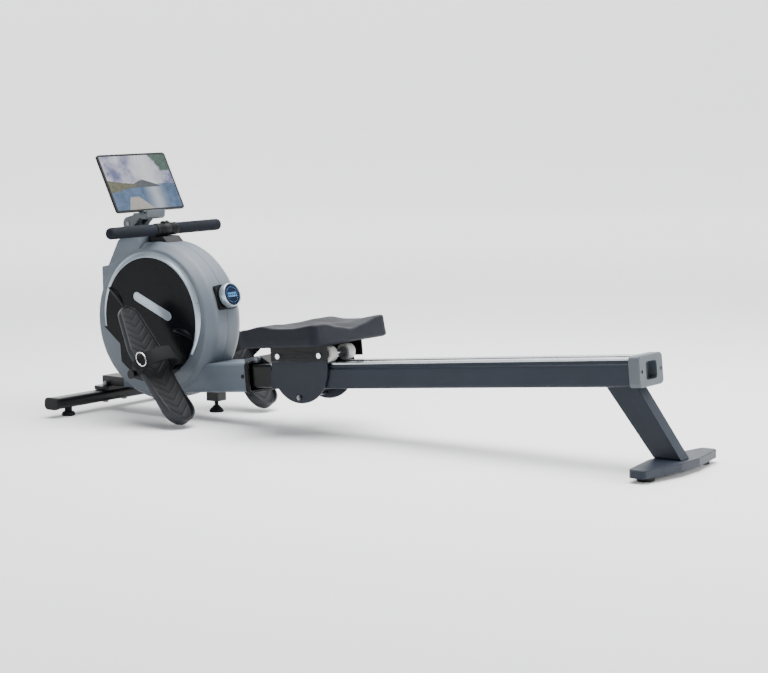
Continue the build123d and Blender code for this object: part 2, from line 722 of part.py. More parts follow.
# ---------------------------------------------------------------- handlebar
TUBE_R, TUBE_WALL = 12.5, 2
GRIP_END = 3
with BuildPart() as handle_tube:
    with BuildSketch(side(HANDLE_LENGTH / 2 - GRIP_END)):
        with Locations((HANDLE_X, HANDLE_Z)):
            Circle(TUBE_R)
            Circle(TUBE_R - TUBE_WALL, mode=Mode.SUBTRACT)
    extrude(amount=HANDLE_LENGTH - 2 * GRIP_END)
save(handle_tube, "handle_tube")

BRACKET_HALF = 44
with BuildPart() as handle_grips:
    for end in (-1, 1):
        inner_end = (HANDLE_X, end * (BRACKET_HALF + 1), HANDLE_Z)
        outward = Plane(origin=inner_end, x_dir=(1, 0, 0), z_dir=(0, end, 0))
        length = HANDLE_LENGTH / 2 - BRACKET_HALF - 1
        with BuildSketch(outward):
            Circle(GRIP_R)
        extrude(amount=length)
        with BuildSketch(outward):
            Circle(TUBE_R)
        extrude(amount=length - GRIP_END, mode=Mode.SUBTRACT)
save(handle_grips, "handle_grips")

with BuildPart() as handle_bracket:
    with BuildSketch(side(BRACKET_HALF)):
        with Locations((HANDLE_X, HANDLE_Z)):
            Circle(GRIP_R + 2)
            Circle(TUBE_R, mode=Mode.SUBTRACT)
    extrude(amount=2 * BRACKET_HALF)
    with BuildSketch(side(15)):
        with Locations((HANDLE_X - 19, HANDLE_Z + 2)):
            RectangleRounded(14, 20, 3)
        with Locations((HANDLE_X, HANDLE_Z)):
            Circle(GRIP_R, mode=Mode.SUBTRACT)
    extrude(amount=30)
save(handle_bracket, "handle_bracket")

STRAP_TOP = GUIDE_Z + GUIDE_R
STRAP_END = HANDLE_X - 26.2
with BuildPart() as pull_strap:
    # from the spool, round the guide roller's front side, and out to the handle
    with BuildSketch(side(STRAP_WIDTH / 2)):
        with Locations((GUIDE_X, GUIDE_Z)):
            Circle(GUIDE_R)
        with Locations((SPOOL_X, SPOOL_Z)):
            Circle(SPOOL_R)
        make_hull()
        offset(amount=-STRAP_THICK, mode=Mode.SUBTRACT)
        with BuildLine():
            Polyline(
                (GUIDE_X, STRAP_TOP + 20),
                (GUIDE_X, GUIDE_Z),
                (SPOOL_X, SPOOL_Z),
                (SPOOL_X + 80, SPOOL_Z),
                (SPOOL_X + 80, STRAP_TOP + 20),
                close=True,
            )
        make_face(mode=Mode.SUBTRACT)
        with Locations(((GUIDE_X + STRAP_END) / 2, STRAP_TOP - STRAP_THICK / 2)):
            Rectangle(STRAP_END - GUIDE_X, STRAP_THICK)
    extrude(amount=STRAP_WIDTH)
save(pull_strap, "pull_strap")

# ---------------------------------------------------------------- tablet holder and tablet
HOLDER_HALF = 38
with BuildPart() as tablet_holder:
    # two barrels beside the mast, each with an arm up to the ledge
    for near in (32, -MAST_HALF - 0.5):
        with BuildSketch(side(near)):
            with Locations((TABLET_PIVOT_X, TABLET_PIVOT_Z)):
                Circle(20)
            with Locations((-812, 589)):
                Circle(5)
            make_hull()
        extrude(amount=32 - MAST_HALF - 0.5)
    # ledge under the tablet, with its front lip
    with BuildSketch(side(HOLDER_HALF)):
        with BuildLine():
            Polyline(
                (-836, 585),
                (-806, 577),
                (-788, 575),
                (-781, 581),
                (-779, 602),
                (-783, 602),
                (-786, 590),
                (-794, 590),
                (-797, 594),
                (-812, 594),
                (-836, 592),
                close=True,
            )
        make_face()
    extrude(amount=2 * HOLDER_HALF)
    # plate behind the tablet
    with BuildSketch(tablet_plane(-TABLET_T / 2 - 5)):
        with Locations((0, 50)):
            RectangleRounded(92, 112, 10)
    extrude(amount=4.7)
    # shelf square to the tablet
    with BuildSketch(tablet_plane(-TABLET_T / 2 - 5)):
        with Locations((0, -2.5)):
            Rectangle(2 * HOLDER_HALF, 4)
    extrude(amount=TABLET_T + 9)
    with BuildSketch(side(40)):
        with Locations((TABLET_PIVOT_X, TABLET_PIVOT_Z)):
            Circle(TABLET_PIN_R + RUN)
    extrude(amount=80, mode=Mode.SUBTRACT)
save(tablet_holder, "tablet_holder")

SCREEN_DEPTH = 0.6
with BuildPart() as tablet_body:
    with BuildSketch(tablet_plane(-TABLET_T / 2)):
        with Locations((0, TABLET_H / 2)):
            RectangleRounded(TABLET_W, TABLET_H, 9)
    extrude(amount=TABLET_T)
    with BuildSketch(tablet_plane(TABLET_T / 2)):
        with Locations((0, TABLET_H / 2)):
            Rectangle(TABLET_W - 12, TABLET_H - 12)
    extrude(amount=-SCREEN_DEPTH, mode=Mode.SUBTRACT)
save(tablet_body, "tablet_body")

with BuildPart() as tablet_screen:
    with BuildSketch(tablet_plane(TABLET_T / 2)):
        with Locations((0, TABLET_H / 2)):
            Rectangle(TABLET_W - 12, TABLET_H - 12)
    extrude(amount=-SCREEN_DEPTH)
save(tablet_screen, "tablet_screen")

# ---------------------------------------------------------------- rail
RAIL_LENGTH = RAIL_END - RAIL_START
RAIL_WALL = 2.5
SLOT_HALF = 24
with BuildPart() as rail_body:
    with BuildSketch(rail_section(RAIL_START)):
        with Locations((0, RAIL_BODY_HEIGHT / 2)):
            RectangleRounded(RAIL_WIDTH, RAIL_BODY_HEIGHT, 7)
        with Locations((0, RAIL_BODY_HEIGHT + RISER_HEIGHT / 2 - 1)):
            Rectangle(2 * TRACK_OUTER, RISER_HEIGHT + 2)
        with Locations((0, RAIL_BODY_HEIGHT / 2)):
            RectangleRounded(
                RAIL_WIDTH - 2 * RAIL_WALL,
                RAIL_BODY_HEIGHT - 2 * RAIL_WALL,
                7 - RAIL_WALL,
                mode=Mode.SUBTRACT,
            )
        with Locations((0, RAIL_BODY_HEIGHT + RISER_HEIGHT / 2)):
            Rectangle(2 * SLOT_HALF, RISER_HEIGHT, mode=Mode.SUBTRACT)
    extrude(amount=RAIL_LENGTH)
save(rail_body, "rail_body")

TRACK_WIDTH = TRACK_OUTER - TRACK_INNER
with BuildPart() as rail_tracks:
    with BuildSketch(rail_section(RAIL_START)):
        for middle in (-TRACK_INNER - TRACK_WIDTH / 2, TRACK_INNER + TRACK_WIDTH / 2):
            with Locations((middle, RAIL_TOP - TRACK_HEIGHT / 2)):
                Rectangle(TRACK_WIDTH, TRACK_HEIGHT)
    extrude(amount=RAIL_LENGTH)
save(rail_tracks, "rail_tracks")

with BuildPart() as seat_stops:
    for start in (-232, 770):
        with BuildSketch(rail_section(start)):
            with Locations((0, RAIL_BODY_HEIGHT + 6.5)):
                Rectangle(28, 13)
        extrude(amount=16)
save(seat_stops, "seat_stops")

CAP_W, CAP_H = 118, 80
CAP_MIDDLE = RAIL_TOP / 2 + 1
CAP_SCREW_Y = 46
with BuildPart() as end_cap:
    with BuildSketch(rail_section(RAIL_END)):
        with Locations((0, CAP_MIDDLE)):
            RectangleRounded(CAP_W, CAP_H, 12)
    extrude(amount=CAP_LENGTH)
    chamfer(end_cap.faces().sort_by(Axis.X)[-1].edges(), 2.5)
    with BuildSketch(rail_section(RAIL_END + CAP_LENGTH)):
        with Locations((0, CAP_MIDDLE)):
            RectangleRounded(54, 46, 9)
    extrude(amount=-24, mode=Mode.SUBTRACT)
    with BuildSketch(rail_section(RAIL_END + CAP_LENGTH)):
        with Locations((-CAP_SCREW_Y, CAP_MIDDLE), (CAP_SCREW_Y, CAP_MIDDLE)):
            Circle(5)
    extrude(amount=-5, mode=Mode.SUBTRACT)
save(end_cap, "end_cap")

# ---------------------------------------------------------------- rear leg and foot
FOOT_TOP, FOOT_BOTTOM = 33, 12
LEG_HALF = 21
LEG_WALL_X = 3.8
LEG_FRONT = ((767, 203), (906, FOOT_TOP))
LEG_REAR = ((855, 210.4), (983, FOOT_TOP))


def on_line(line, z):
    """X of a straight edge at height z."""
    (x0, z0), (x1, z1) = line
    return x0 + (x1 - x0) * (z - z0) / (z1 - z0)


with BuildPart() as rear_leg:
    with BuildSketch(side(LEG_HALF)):
        with BuildLine():
            Polyline(
                (LEG_FRONT[0][0], RAIL_BASE_Z + LEG_FRONT[0][0] * tan(radians(TILT))),
                (LEG_REAR[0][0], RAIL_BASE_Z + LEG_REAR[0][0] * tan(radians(TILT))),
                LEG_REAR[1],
                LEG_FRONT[1],
                close=True,
            )
        make_face()
    extrude(amount=2 * LEG_HALF)
    with BuildSketch(side(LEG_HALF - 3)):
        with BuildLine():
            Polyline(
                (on_line(LEG_FRONT, 240) + LEG_WALL_X, 240),
                (on_line(LEG_REAR, 240) - LEG_WALL_X, 240),
                (on_line(LEG_REAR, 20) - LEG_WALL_X, 20),
                (on_line(LEG_FRONT, 20) + LEG_WALL_X, 20),
                close=True,
            )
        make_face()
    extrude(amount=2 * LEG_HALF - 6, mode=Mode.SUBTRACT)
save(rear_leg, "rear_leg")

FOOT_HALF, FOOT_END, FOOT_MIDDLE = 185, 22, 48
FOOT_POCKET_X, FOOT_POCKET_Y, FOOT_WALL = 54, 220, 3
with BuildPart() as rear_foot:
    with BuildSketch(Plane.XY.offset(FOOT_BOTTOM)):
        with BuildLine():
            Polyline(
                (FOOT_X - FOOT_END, -FOOT_HALF),
                (FOOT_X + FOOT_END, -FOOT_HALF),
                (FOOT_X + FOOT_MIDDLE, -45),
                (FOOT_X + FOOT_MIDDLE, 45),
                (FOOT_X + FOOT_END, FOOT_HALF),
                (FOOT_X - FOOT_END, FOOT_HALF),
                (FOOT_X - FOOT_MIDDLE, 45),
                (FOOT_X - FOOT_MIDDLE, -45),
                close=True,
            )
        make_face()
        fillet(vertices(), 14)
    extrude(amount=FOOT_TOP - FOOT_BOTTOM)
    chamfer(rear_foot.faces().sort_by(Axis.Z)[-1].edges(), 2)
    # hollow underneath, between the two pads
    with BuildSketch(Plane.XY.offset(FOOT_BOTTOM)):
        with Locations((FOOT_X, 0)):
            Rectangle(FOOT_POCKET_X, FOOT_POCKET_Y)
    extrude(amount=FOOT_TOP - FOOT_BOTTOM - FOOT_WALL, mode=Mode.SUBTRACT)
save(rear_foot, "rear_foot")

with BuildPart() as rear_foot_pads:
    for y in (-138, 138):
        with Locations((FOOT_X, y, 0)):
            Cylinder(22, FOOT_BOTTOM, align=ON_FLOOR)
save(rear_foot_pads, "rear_foot_pads")

# ---------------------------------------------------------------- fold hinge
DISC_NEAR, DISC_FAR = RAIL_WIDTH / 2 + 3, RAIL_WIDTH / 2 + 7
DISC_TOP = 78
DISC_BOLT, DISC_BOLT_R = (-193, 99), 4
with BuildPart() as hinge_discs:
    for face in (DISC_FAR, -DISC_NEAR):
        with BuildSketch(side(face)):
            with Locations(DISC_CENTRE):
                Circle(DISC_R)
            with Locations(DISC_BOLT):
                Circle(DISC_BOLT_R, mode=Mode.SUBTRACT)
        extrude(amount=DISC_FAR - DISC_NEAR)
    with BuildSketch(rail_level(DISC_TOP)):
        Rectangle(2000, 400)
    extrude(amount=200, mode=Mode.SUBTRACT)
    # spacers that join the discs to the rail's sides
    for face, out in ((RAIL_WIDTH / 2, 1), (-RAIL_WIDTH / 2, -1)):
        with BuildSketch(Plane(origin=rail_point(0, 0, face), x_dir=RAIL_DIR, z_dir=(0, out, 0))):
            with Locations((-200, -30 * out), (-240, -30 * out)):
                Circle(9)
        extrude(amount=3)
save(hinge_discs, "hinge_discs")

with BuildPart() as rail_fasteners:
    # bolt through both discs
    with BuildSketch(side(DISC_FAR + 8)):
        with Locations(DISC_BOLT):
            Circle(DISC_BOLT_R)
    extrude(amount=2 * DISC_FAR + 16)
    for face in (DISC_FAR + 5, -DISC_FAR):
        with BuildSketch(side(face)):
            with Locations(DISC_BOLT):
                RegularPolygon(7.5, 6)
        extrude(amount=5)
    # two sunk screws in the end cap
    with BuildSketch(rail_section(RAIL_END + CAP_LENGTH - 5)):
        with Locations((-CAP_SCREW_Y, CAP_MIDDLE), (CAP_SCREW_Y, CAP_MIDDLE)):
            Circle(5)
            RegularPolygon(2.2, 6, mode=Mode.SUBTRACT)
    extrude(amount=3)
save(rail_fasteners, "rail_fasteners")

with BuildPart() as pivot_pins:
    with BuildSketch(rail_side(38)):
        with Locations(FOLD_PIN):
            Circle(FOLD_PIN_R)
    extrude(amount=76)
    with BuildSketch(side(34)):
        with Locations((TABLET_PIVOT_X, TABLET_PIVOT_Z)):
            Circle(TABLET_PIN_R)
    extrude(amount=68)
save(pivot_pins, "pivot_pins")

BLOCK_BOTTOM, BLOCK_TOP, BLOCK_WALL = 4, 70, 8
with BuildPart() as hinge_block:
    with BuildSketch(rail_section(BEAM_REAR + 6)):
        with Locations((0, (BLOCK_BOTTOM + BLOCK_TOP) / 2)):
            RectangleRounded(100, BLOCK_TOP - BLOCK_BOTTOM, 8)
    extrude(amount=RAIL_START - BEAM_REAR - 6)
    # the block is hollow behind its front wall
    with BuildSketch(rail_section(BEAM_REAR + 6 + BLOCK_WALL)):
        with Locations((0, (BLOCK_BOTTOM + BLOCK_TOP) / 2)):
            Rectangle(100 - 2 * BLOCK_WALL, BLOCK_TOP - BLOCK_BOTTOM - 2 * BLOCK_WALL)
    extrude(amount=100, mode=Mode.SUBTRACT)
    # tongue that reaches into the beam for the lock pin
    with BuildSketch(rail_section(-415)):
        with Locations((0, 35.5)):
            Rectangle(80, 41)
    extrude(amount=50)
    # knuckle between the frame's ears
    with BuildSketch(rail_side(EAR_INNER - 0.5)):
        with Locations(FOLD_PIN):
            Circle(KNUCKLE_R)
        with Locations((-345, 66)):
            Rectangle(40, 8)
        make_hull()
    extrude(amount=2 * EAR_INNER - 1)
    with BuildSketch(rail_side(50)):
        with Locations(FOLD_PIN):
            Circle(FOLD_PIN_R + RUN)
        with Locations((LOCK_S, LOCK_T)):
            Circle(LOCK_PIN_R + 0.6)
    extrude(amount=100, mode=Mode.SUBTRACT)
save(hinge_block, "hinge_block")

# ---------------------------------------------------------------- lock pin
PIN_TIP, PIN_END = 41, 84
with BuildPart() as lock_pin:
    with BuildSketch(rail_side(PIN_END)):
        with Locations((LOCK_S, LOCK_T)):
            Circle(LOCK_PIN_R)
    extrude(amount=PIN_END - PIN_TIP)
    # its pull knob
    with BuildSketch(rail_side(98)):
        with Locations((LOCK_S, LOCK_T)):
            Circle(15)
    extrude(amount=20)
save(lock_pin, "lock_pin")

# ---------------------------------------------------------------- levelling foot
with BuildPart() as levelling_foot:
    with Locations((LEVEL_X, 0, 20)):
        Cone(21, 18, 10, align=ON_FLOOR)
    with Locations((LEVEL_X, 0, 30)):
        Cone(18, 9, 8, align=ON_FLOOR)
    with Locations((LEVEL_X, 0, 38)):
        Cylinder(LEVEL_SCREW_R, 42, align=ON_FLOOR)
save(levelling_foot, "levelling_foot")

# ---------------------------------------------------------------- seat and carriage
PLATE_NEAR, PLATE_FAR = 76, 80
PLATE_BOTTOM, BASE_BOTTOM = 80, 122
PLATE_HALF = 101
AXLE_R, AXLE_HEAD_R, AXLE_HEAD = 5, 7.5, 4
STEM_HALF, RETAINER_HALF = 13, 22
RETAINER_T, RETAINER_THICK = 62, 5

with BuildPart() as seat_cushion:
    with BuildSketch(rail_level(SEAT_BOTTOM)):
        with Locations(((SEAT_FRONT + SEAT_REAR) / 2, 0)):
            RectangleRounded(SEAT_REAR - SEAT_FRONT, 2 * SEAT_HALF, SEAT_CORNER)
    extrude(amount=SEAT_TOP - SEAT_BOTTOM)
    # hollow across the middle, between a raised front and a higher rear edge
    with BuildSketch(rail_side(SEAT_HALF + 5)):
        with BuildLine():
            Polyline(
                (SEAT_FRONT - 5, 168),
                (-250, 172),
                (-180, 166),
                (-90, 172),
                (SEAT_REAR - 20, 182),
                (SEAT_REAR + 5, 190),
                (SEAT_FRONT - 5, 190),
                close=True,
            )
        make_face()
    extrude(amount=2 * SEAT_HALF + 10, mode=Mode.SUBTRACT)
save(seat_cushion, "seat_cushion")

with BuildPart() as seat_base:
    with BuildSketch(rail_level(BASE_BOTTOM)):
        with Locations((CARRIAGE_S, 0)):
            Rectangle(2 * PLATE_HALF, 2 * PLATE_FAR)
    extrude(amount=SEAT_BOTTOM - BASE_BOTTOM)
    # retainer: a stem between the tracks and a foot in the slot under them
    with BuildSketch(rail_side(STEM_HALF)):
        with Locations((CARRIAGE_S, (RETAINER_T + BASE_BOTTOM) / 2)):
            Rectangle(60, BASE_BOTTOM - RETAINER_T)
    extrude(amount=2 * STEM_HALF)
    with BuildSketch(rail_side(RETAINER_HALF)):
        with Locations((CARRIAGE_S, RETAINER_T)):
            Rectangle(80, RETAINER_THICK)
    extrude(amount=2 * RETAINER_HALF)
save(seat_base, "seat_base")

AXLE_SPOTS = ((CARRIAGE_S - AXLE_OFFSET, AXLE_T), (CARRIAGE_S + AXLE_OFFSET, AXLE_T))
with BuildPart() as carriage_plates:
    for face in (PLATE_FAR, -PLATE_NEAR):
        with BuildSketch(rail_side(face)):
            with Locations((CARRIAGE_S, (PLATE_BOTTOM + BASE_BOTTOM) / 2)):
                Rectangle(2 * PLATE_HALF, BASE_BOTTOM - PLATE_BOTTOM)
            with Locations(*AXLE_SPOTS):
                Circle(AXLE_R, mode=Mode.SUBTRACT)
        extrude(amount=PLATE_FAR - PLATE_NEAR)
save(carriage_plates, "carriage_plates")

with BuildPart() as roller_axles:
    with BuildSketch(rail_side(PLATE_FAR + AXLE_HEAD / 2)):
        with Locations(*AXLE_SPOTS):
            Circle(AXLE_R)
    extrude(amount=2 * PLATE_FAR + AXLE_HEAD)
    for face in (PLATE_FAR + AXLE_HEAD, -PLATE_FAR):
        with BuildSketch(rail_side(face)):
            with Locations(*AXLE_SPOTS):
                Circle(AXLE_HEAD_R)
        extrude(amount=AXLE_HEAD)
save(roller_axles, "roller_axles")

ROLLER_IN, ROLLER_OUT = 24, 55


def roller_pair(spot):
    """Two rollers on one axle, one for each track."""
    with BuildPart() as pair:
        for face in (ROLLER_OUT, -ROLLER_IN):
            with BuildSketch(rail_side(face)):
                with Locations(spot):
                    Circle(ROLLER_R)
                    Circle(AXLE_R + RUN, mode=Mode.SUBTRACT)
            extrude(amount=ROLLER_OUT - ROLLER_IN)
    return pair


save(roller_pair(AXLE_SPOTS[0]), "front_rollers")
save(roller_pair(AXLE_SPOTS[1]), "rear_rollers")

# ---------------------------------------------------------------- footplates
AXLE_HALF, END_FACE, END_THICK = 238, 242, 6
with BuildPart() as footrest_axle:
    with BuildSketch(side(AXLE_HALF)):
        with Locations((PEDAL_X, PEDAL_Z)):
            Circle(PEDAL_AXLE_R)
    extrude(amount=2 * AXLE_HALF)
    for face in (END_FACE, END_THICK - END_FACE):
        with BuildSketch(side(face)):
            with Locations((PEDAL_X, PEDAL_Z)):
                Circle(13)
        extrude(amount=END_THICK)
save(footrest_axle, "footrest_axle")

SOLE_THICK, PAD_THICK = 14, 5
HALF_LENGTH = PEDAL_LENGTH / 2
TOE_R, MIDDLE_R, HEEL_R = 36, 58, 52
HEEL_WALL, HEEL_HEIGHT = 6, 16
FOOT_HUB_R, FOOT_HUB_HALF = 15, 40


def sole_outline(inset):
    """Plan outline of a footplate, narrow at the toe and round at the heel."""
    with Locations((-HALF_LENGTH + TOE_R, 0)):
        Circle(TOE_R - inset)
    with Locations((-40, 0)):
        Circle(MIDDLE_R - inset)
    with Locations((HALF_LENGTH - HEEL_R, 0)):
        Circle(HEEL_R - inset)
    make_hull()


def footplate(sign):
    """Moulded sole with a hub underneath that turns on the footrest axle."""
    y = sign * PEDAL_Y
    with BuildPart() as plate:
        with BuildSketch(pedal_level(-SOLE_THICK, y)):
            sole_outline(0)
        extrude(amount=SOLE_THICK)
        # heel cup
        with BuildSketch(pedal_level(0, y)):
            sole_outline(0)
            offset(amount=-HEEL_WALL, mode=Mode.SUBTRACT)
            with Locations((-90, 0)):
                Rectangle(300, 200, mode=Mode.SUBTRACT)
        extrude(amount=HEEL_HEIGHT)
        # hub and its rib
        with BuildSketch(pedal_side(y + FOOT_HUB_HALF)):
            with Locations((0, -PEDAL_DROP)):
                Circle(FOOT_HUB_R)
            with Locations((0, -SOLE_THICK - 2)):
                Rectangle(90, 6)
            make_hull()
        extrude(amount=2 * FOOT_HUB_HALF)
        with BuildSketch(pedal_side(y + 60)):
            with Locations((0, -PEDAL_DROP)):
                Circle(PEDAL_AXLE_R + RUN)
        extrude(amount=120, mode=Mode.SUBTRACT)
    return plate


def foot_pad(sign):
    """Rubber pad on the sole."""
    y = sign * PEDAL_Y
    with BuildPart() as pad:
        with BuildSketch(pedal_level(0, y)):
            sole_outline(7)
        extrude(amount=PAD_THICK)
    return pad


STRAP_HALF = 23
ARCH_HEIGHT = 62
ARCH_HALF = 60


def arch(half, knee, shoulder, height):
    """Points of an arch over the foot, from one edge of the sole to the other."""
    rising = ((-half, -10), (-half, knee), (-shoulder, height - 4), (0, height))
    falling = tuple((-x, z) for x, z in reversed(rising[:-1]))
    return rising + falling


def foot_strap(sign):
    """Webbing that arches over the foot, from one edge of the sole to the other."""
    y = sign * PEDAL_Y
    section = Plane(origin=(PEDAL_CENTRE[0], y, PEDAL_CENTRE[2]), x_dir=(0, 1, 0), z_dir=PEDAL_DIR)
    with BuildPart() as strap:
        with BuildSketch(section):
            with BuildLine():
                outer = Polyline(*arch(ARCH_HALF + 2.5, 24, 38, ARCH_HEIGHT))
                inner = Polyline(*arch(ARCH_HALF + 0.1, 23, 37, ARCH_HEIGHT - 3))
                Line(outer @ 0, inner @ 0)
                Line(outer @ 1, inner @ 1)
            make_face()
        extrude(amount=STRAP_HALF, both=True)
    return strap


for name, sign in (("left", -1), ("right", 1)):
    save(footplate(sign), f"footplate_{name}")
    save(foot_pad(sign), f"foot_pad_{name}")
    save(foot_strap(sign), f"foot_strap_{name}")
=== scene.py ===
"""The finished look of the rowing machine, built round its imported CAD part.

Lengths are written in millimetres in the part's own frame and turned into metres by the place functions.
+X runs to the rear foot, +Z is up, and the rower faces -X, so left is -Y.
"""

import json
from math import acos, cos, degrees, exp, hypot, pi, radians, sin

import bmesh
import bpy
from mathutils import Matrix, Vector


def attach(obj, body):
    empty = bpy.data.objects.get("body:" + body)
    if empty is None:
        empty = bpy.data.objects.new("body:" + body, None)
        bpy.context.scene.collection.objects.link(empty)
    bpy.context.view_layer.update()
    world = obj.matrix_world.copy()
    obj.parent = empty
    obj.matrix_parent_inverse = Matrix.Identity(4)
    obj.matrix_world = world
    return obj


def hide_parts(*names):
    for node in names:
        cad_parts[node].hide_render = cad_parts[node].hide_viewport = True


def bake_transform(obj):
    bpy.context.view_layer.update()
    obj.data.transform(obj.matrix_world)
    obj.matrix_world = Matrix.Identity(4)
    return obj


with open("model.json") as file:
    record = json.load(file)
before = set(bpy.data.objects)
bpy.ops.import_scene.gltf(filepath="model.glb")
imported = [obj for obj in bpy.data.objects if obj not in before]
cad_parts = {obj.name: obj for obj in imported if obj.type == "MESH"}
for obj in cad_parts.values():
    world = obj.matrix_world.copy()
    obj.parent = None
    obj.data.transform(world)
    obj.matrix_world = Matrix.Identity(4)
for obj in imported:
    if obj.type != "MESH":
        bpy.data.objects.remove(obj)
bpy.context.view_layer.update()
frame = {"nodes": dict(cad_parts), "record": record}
nodes = frame["nodes"]

MM = 0.001
LEFT, RIGHT = -1, 1
HANDS = ((LEFT, "left"), (RIGHT, "right"))
ACROSS = Vector((0, 1, 0))

# slope of the rail, and the height of its underside at X = 0
TILT = radians(4.82)
RAIL_BASE = 138.3
# height of the rollers' axles over the rail's underside
AXLE_RISE = 95
# axis of the covers, the rings and the console, and the tilt of the console's face
DRUM_X, DRUM_Z = -739, 289
CONSOLE_ANGLE = radians(17.2)
# axis of the casing itself, a little lower
CASING_Z = 280
# footrest pivots, the slope of the soles and their height over the pivots
PEDAL_X, PEDAL_Z, PEDAL_Y = -665, 150, 182
PEDAL_ANGLE, PEDAL_DROP = radians(52.8), 38.6
# foot of the tablet, and how far it leans back
SCREEN_X, SCREEN_Z = -799.5, 598
LEAN = radians(26.3)
# axes of the handlebar, the guide roller and the spool
HANDLE_X, HANDLE_Z = -746, 546
GUIDE_X, GUIDE_Z = -805, 534
SPOOL_X, SPOOL_Z = -690, 405


# ---------------------------------------------------------------- places
def side(u, v, w):
    """u along X, v up, w across."""
    return Vector((u, w, v)) * MM


def rail(u, v, w):
    """u along the rail, v above its underside, w across."""
    return Vector((u * cos(TILT) - v * sin(TILT), w, RAIL_BASE + u * sin(TILT) + v * cos(TILT))) * MM


def pedal(hand):
    """u from toe to heel, v up from the sole, w across, on the left or right footplate."""

    def place(u, v, w):
        rise = v + PEDAL_DROP
        x = PEDAL_X + u * cos(PEDAL_ANGLE) + rise * sin(PEDAL_ANGLE)
        z = PEDAL_Z - u * sin(PEDAL_ANGLE) + rise * cos(PEDAL_ANGLE)
        return Vector((x, hand * PEDAL_Y + w, z)) * MM

    return place


def screen(u, v, w):
    """u across the tablet, v up it, w out of its face."""
    x = SCREEN_X - v * sin(LEAN) + w * cos(LEAN)
    z = SCREEN_Z + v * cos(LEAN) + w * sin(LEAN)
    return Vector((x, u, z)) * MM


def upright(x, y):
    """u and v level, w up, round a vertical axis."""
    return lambda u, v, w: Vector((x + u, y + v, w)) * MM


def console(u, v, w):
    """u across, v up the console's face, w out from the drum's axis."""
    x = DRUM_X + w * cos(CONSOLE_ANGLE) - v * sin(CONSOLE_ANGLE)
    z = DRUM_Z + w * sin(CONSOLE_ANGLE) + v * cos(CONSOLE_ANGLE)
    return Vector((x, u, z)) * MM


def across(x, z):
    """u and v in the side view round an axis that runs across, w along it."""
    return lambda u, v, w: Vector((x + u, w, z + v)) * MM


def mirrored(hand, x=0, z=0):
    """u and v in the side view from a point, w outwards on the left or right side."""
    return lambda u, v, w: side(x + u, z + v, hand * w)


def axle(s):
    """u along the rail and v above it from the axle of a roller pair, w across."""
    return lambda u, v, w: rail(s + u, AXLE_RISE + v, w)


def over_handle(y, height):
    """u and v level from a point above the handlebar, w up."""
    return lambda u, v, w: side(HANDLE_X + u, height + w, y + v)


def strap_side(hand):
    """Round the strap's stud: u along the footplate, v up from it, w outwards."""
    place = pedal(hand)
    return lambda u, v, w: place(u, v - 4, hand * w)


# ---------------------------------------------------------------- outlines
def arc(x, y, radius, start, end, steps):
    """Points of an arc, with its angles in degrees."""
    angles = [radians(start + (end - start) * i / steps) for i in range(steps + 1)]
    return [(x + radius * cos(a), y + radius * sin(a)) for a in angles]


def rounded_box(width, height, radius, x=0, y=0, steps=6):
    """Outline of a rectangle with round corners."""
    a, b = width / 2 - radius, height / 2 - radius
    corners = ((a, b, 0), (-a, b, 90), (-a, -b, 180), (a, -b, 270))
    return [p for cx, cy, t in corners for p in arc(x + cx, y + cy, radius, t, t + 90, steps)]


def hull(circles):
    """Convex outline round some circles."""
    points = sorted(p for x, y, r in circles for p in arc(x, y, r, 0, 360, 72))
    chains = []
    for ordered in (points, points[::-1]):
        chain = []
        for p in ordered:
            while len(chain) > 1 and turn(chain[-2], chain[-1], p) <= 0:
                chain.pop()
            chain.append(p)
        chains.append(chain[:-1])
    return chains[0] + chains[1]


def turn(a, b, c):
    """Positive where a, b and c turn to the left."""
    return (b[0] - a[0]) * (c[1] - a[1]) - (b[1] - a[1]) * (c[0] - a[0])


def even(outline, count):
    """The same closed outline as evenly spaced points."""
    loop = outline + outline[:1]
    lengths = [hypot(q[0] - p[0], q[1] - p[1]) for p, q in zip(loop, loop[1:])]
    step, result, edge, passed = sum(lengths) / count, [], 0, 0.0
    for i in range(count):
        while passed + lengths[edge] < i * step:
            passed += lengths[edge]
            edge += 1
        share = (i * step - passed) / lengths[edge]
        p, q = loop[edge], loop[edge + 1]
        result.append((p[0] + (q[0] - p[0]) * share, p[1] + (q[1] - p[1]) * share))
    return result


def inset(outline, amount):
    """A convex outline, counterclockwise, moved inwards."""
    result = []
    for before, here, after in zip(outline[-1:] + outline[:-1], outline, outline[1:] + outline[:1]):
        dx, dy = after[0] - before[0], after[1] - before[1]
        size = hypot(dx, dy) or 1
        result.append((here[0] - dy / size * amount, here[1] + dx / size * amount))
    return result


def softened(corners, radii, steps=6):
    """An open profile with its inner corners rounded."""
    result = [corners[0]]
    for a, b, c, radius in zip(corners, corners[1:], corners[2:], radii):
        p, q, r = Vector(a), Vector(b), Vector(c)
        start, end = q + (p - q).normalized() * radius, q + (r - q).normalized() * radius
        for i in range(steps + 1):
            t = i / steps
            result.append(tuple(start * (1 - t) ** 2 + q * 2 * t * (1 - t) + end * t**2))
    return result + [corners[-1]]


def smooth(low, high, value):
    """0 below low, 1 above high, and an even rise between."""
    t = min(1, max(0, (value - low) / (high - low)))
    return t * t * (3 - 2 * t)


def bump(value, middle, width):
    """A rounded hill of height 1."""
    return exp(-(((value - middle) / width) ** 2))


# ---------------------------------------------------------------- lofted rings
AXIS_HOLE = 0.05  # smallest radius of a turned body, so that no ring closes to a point


def prism(outline, low, high, place):
    """Two rings: an outline at each end of a straight body."""
    return [[place(u, v, w) for u, v in outline] for w in (low, high)]


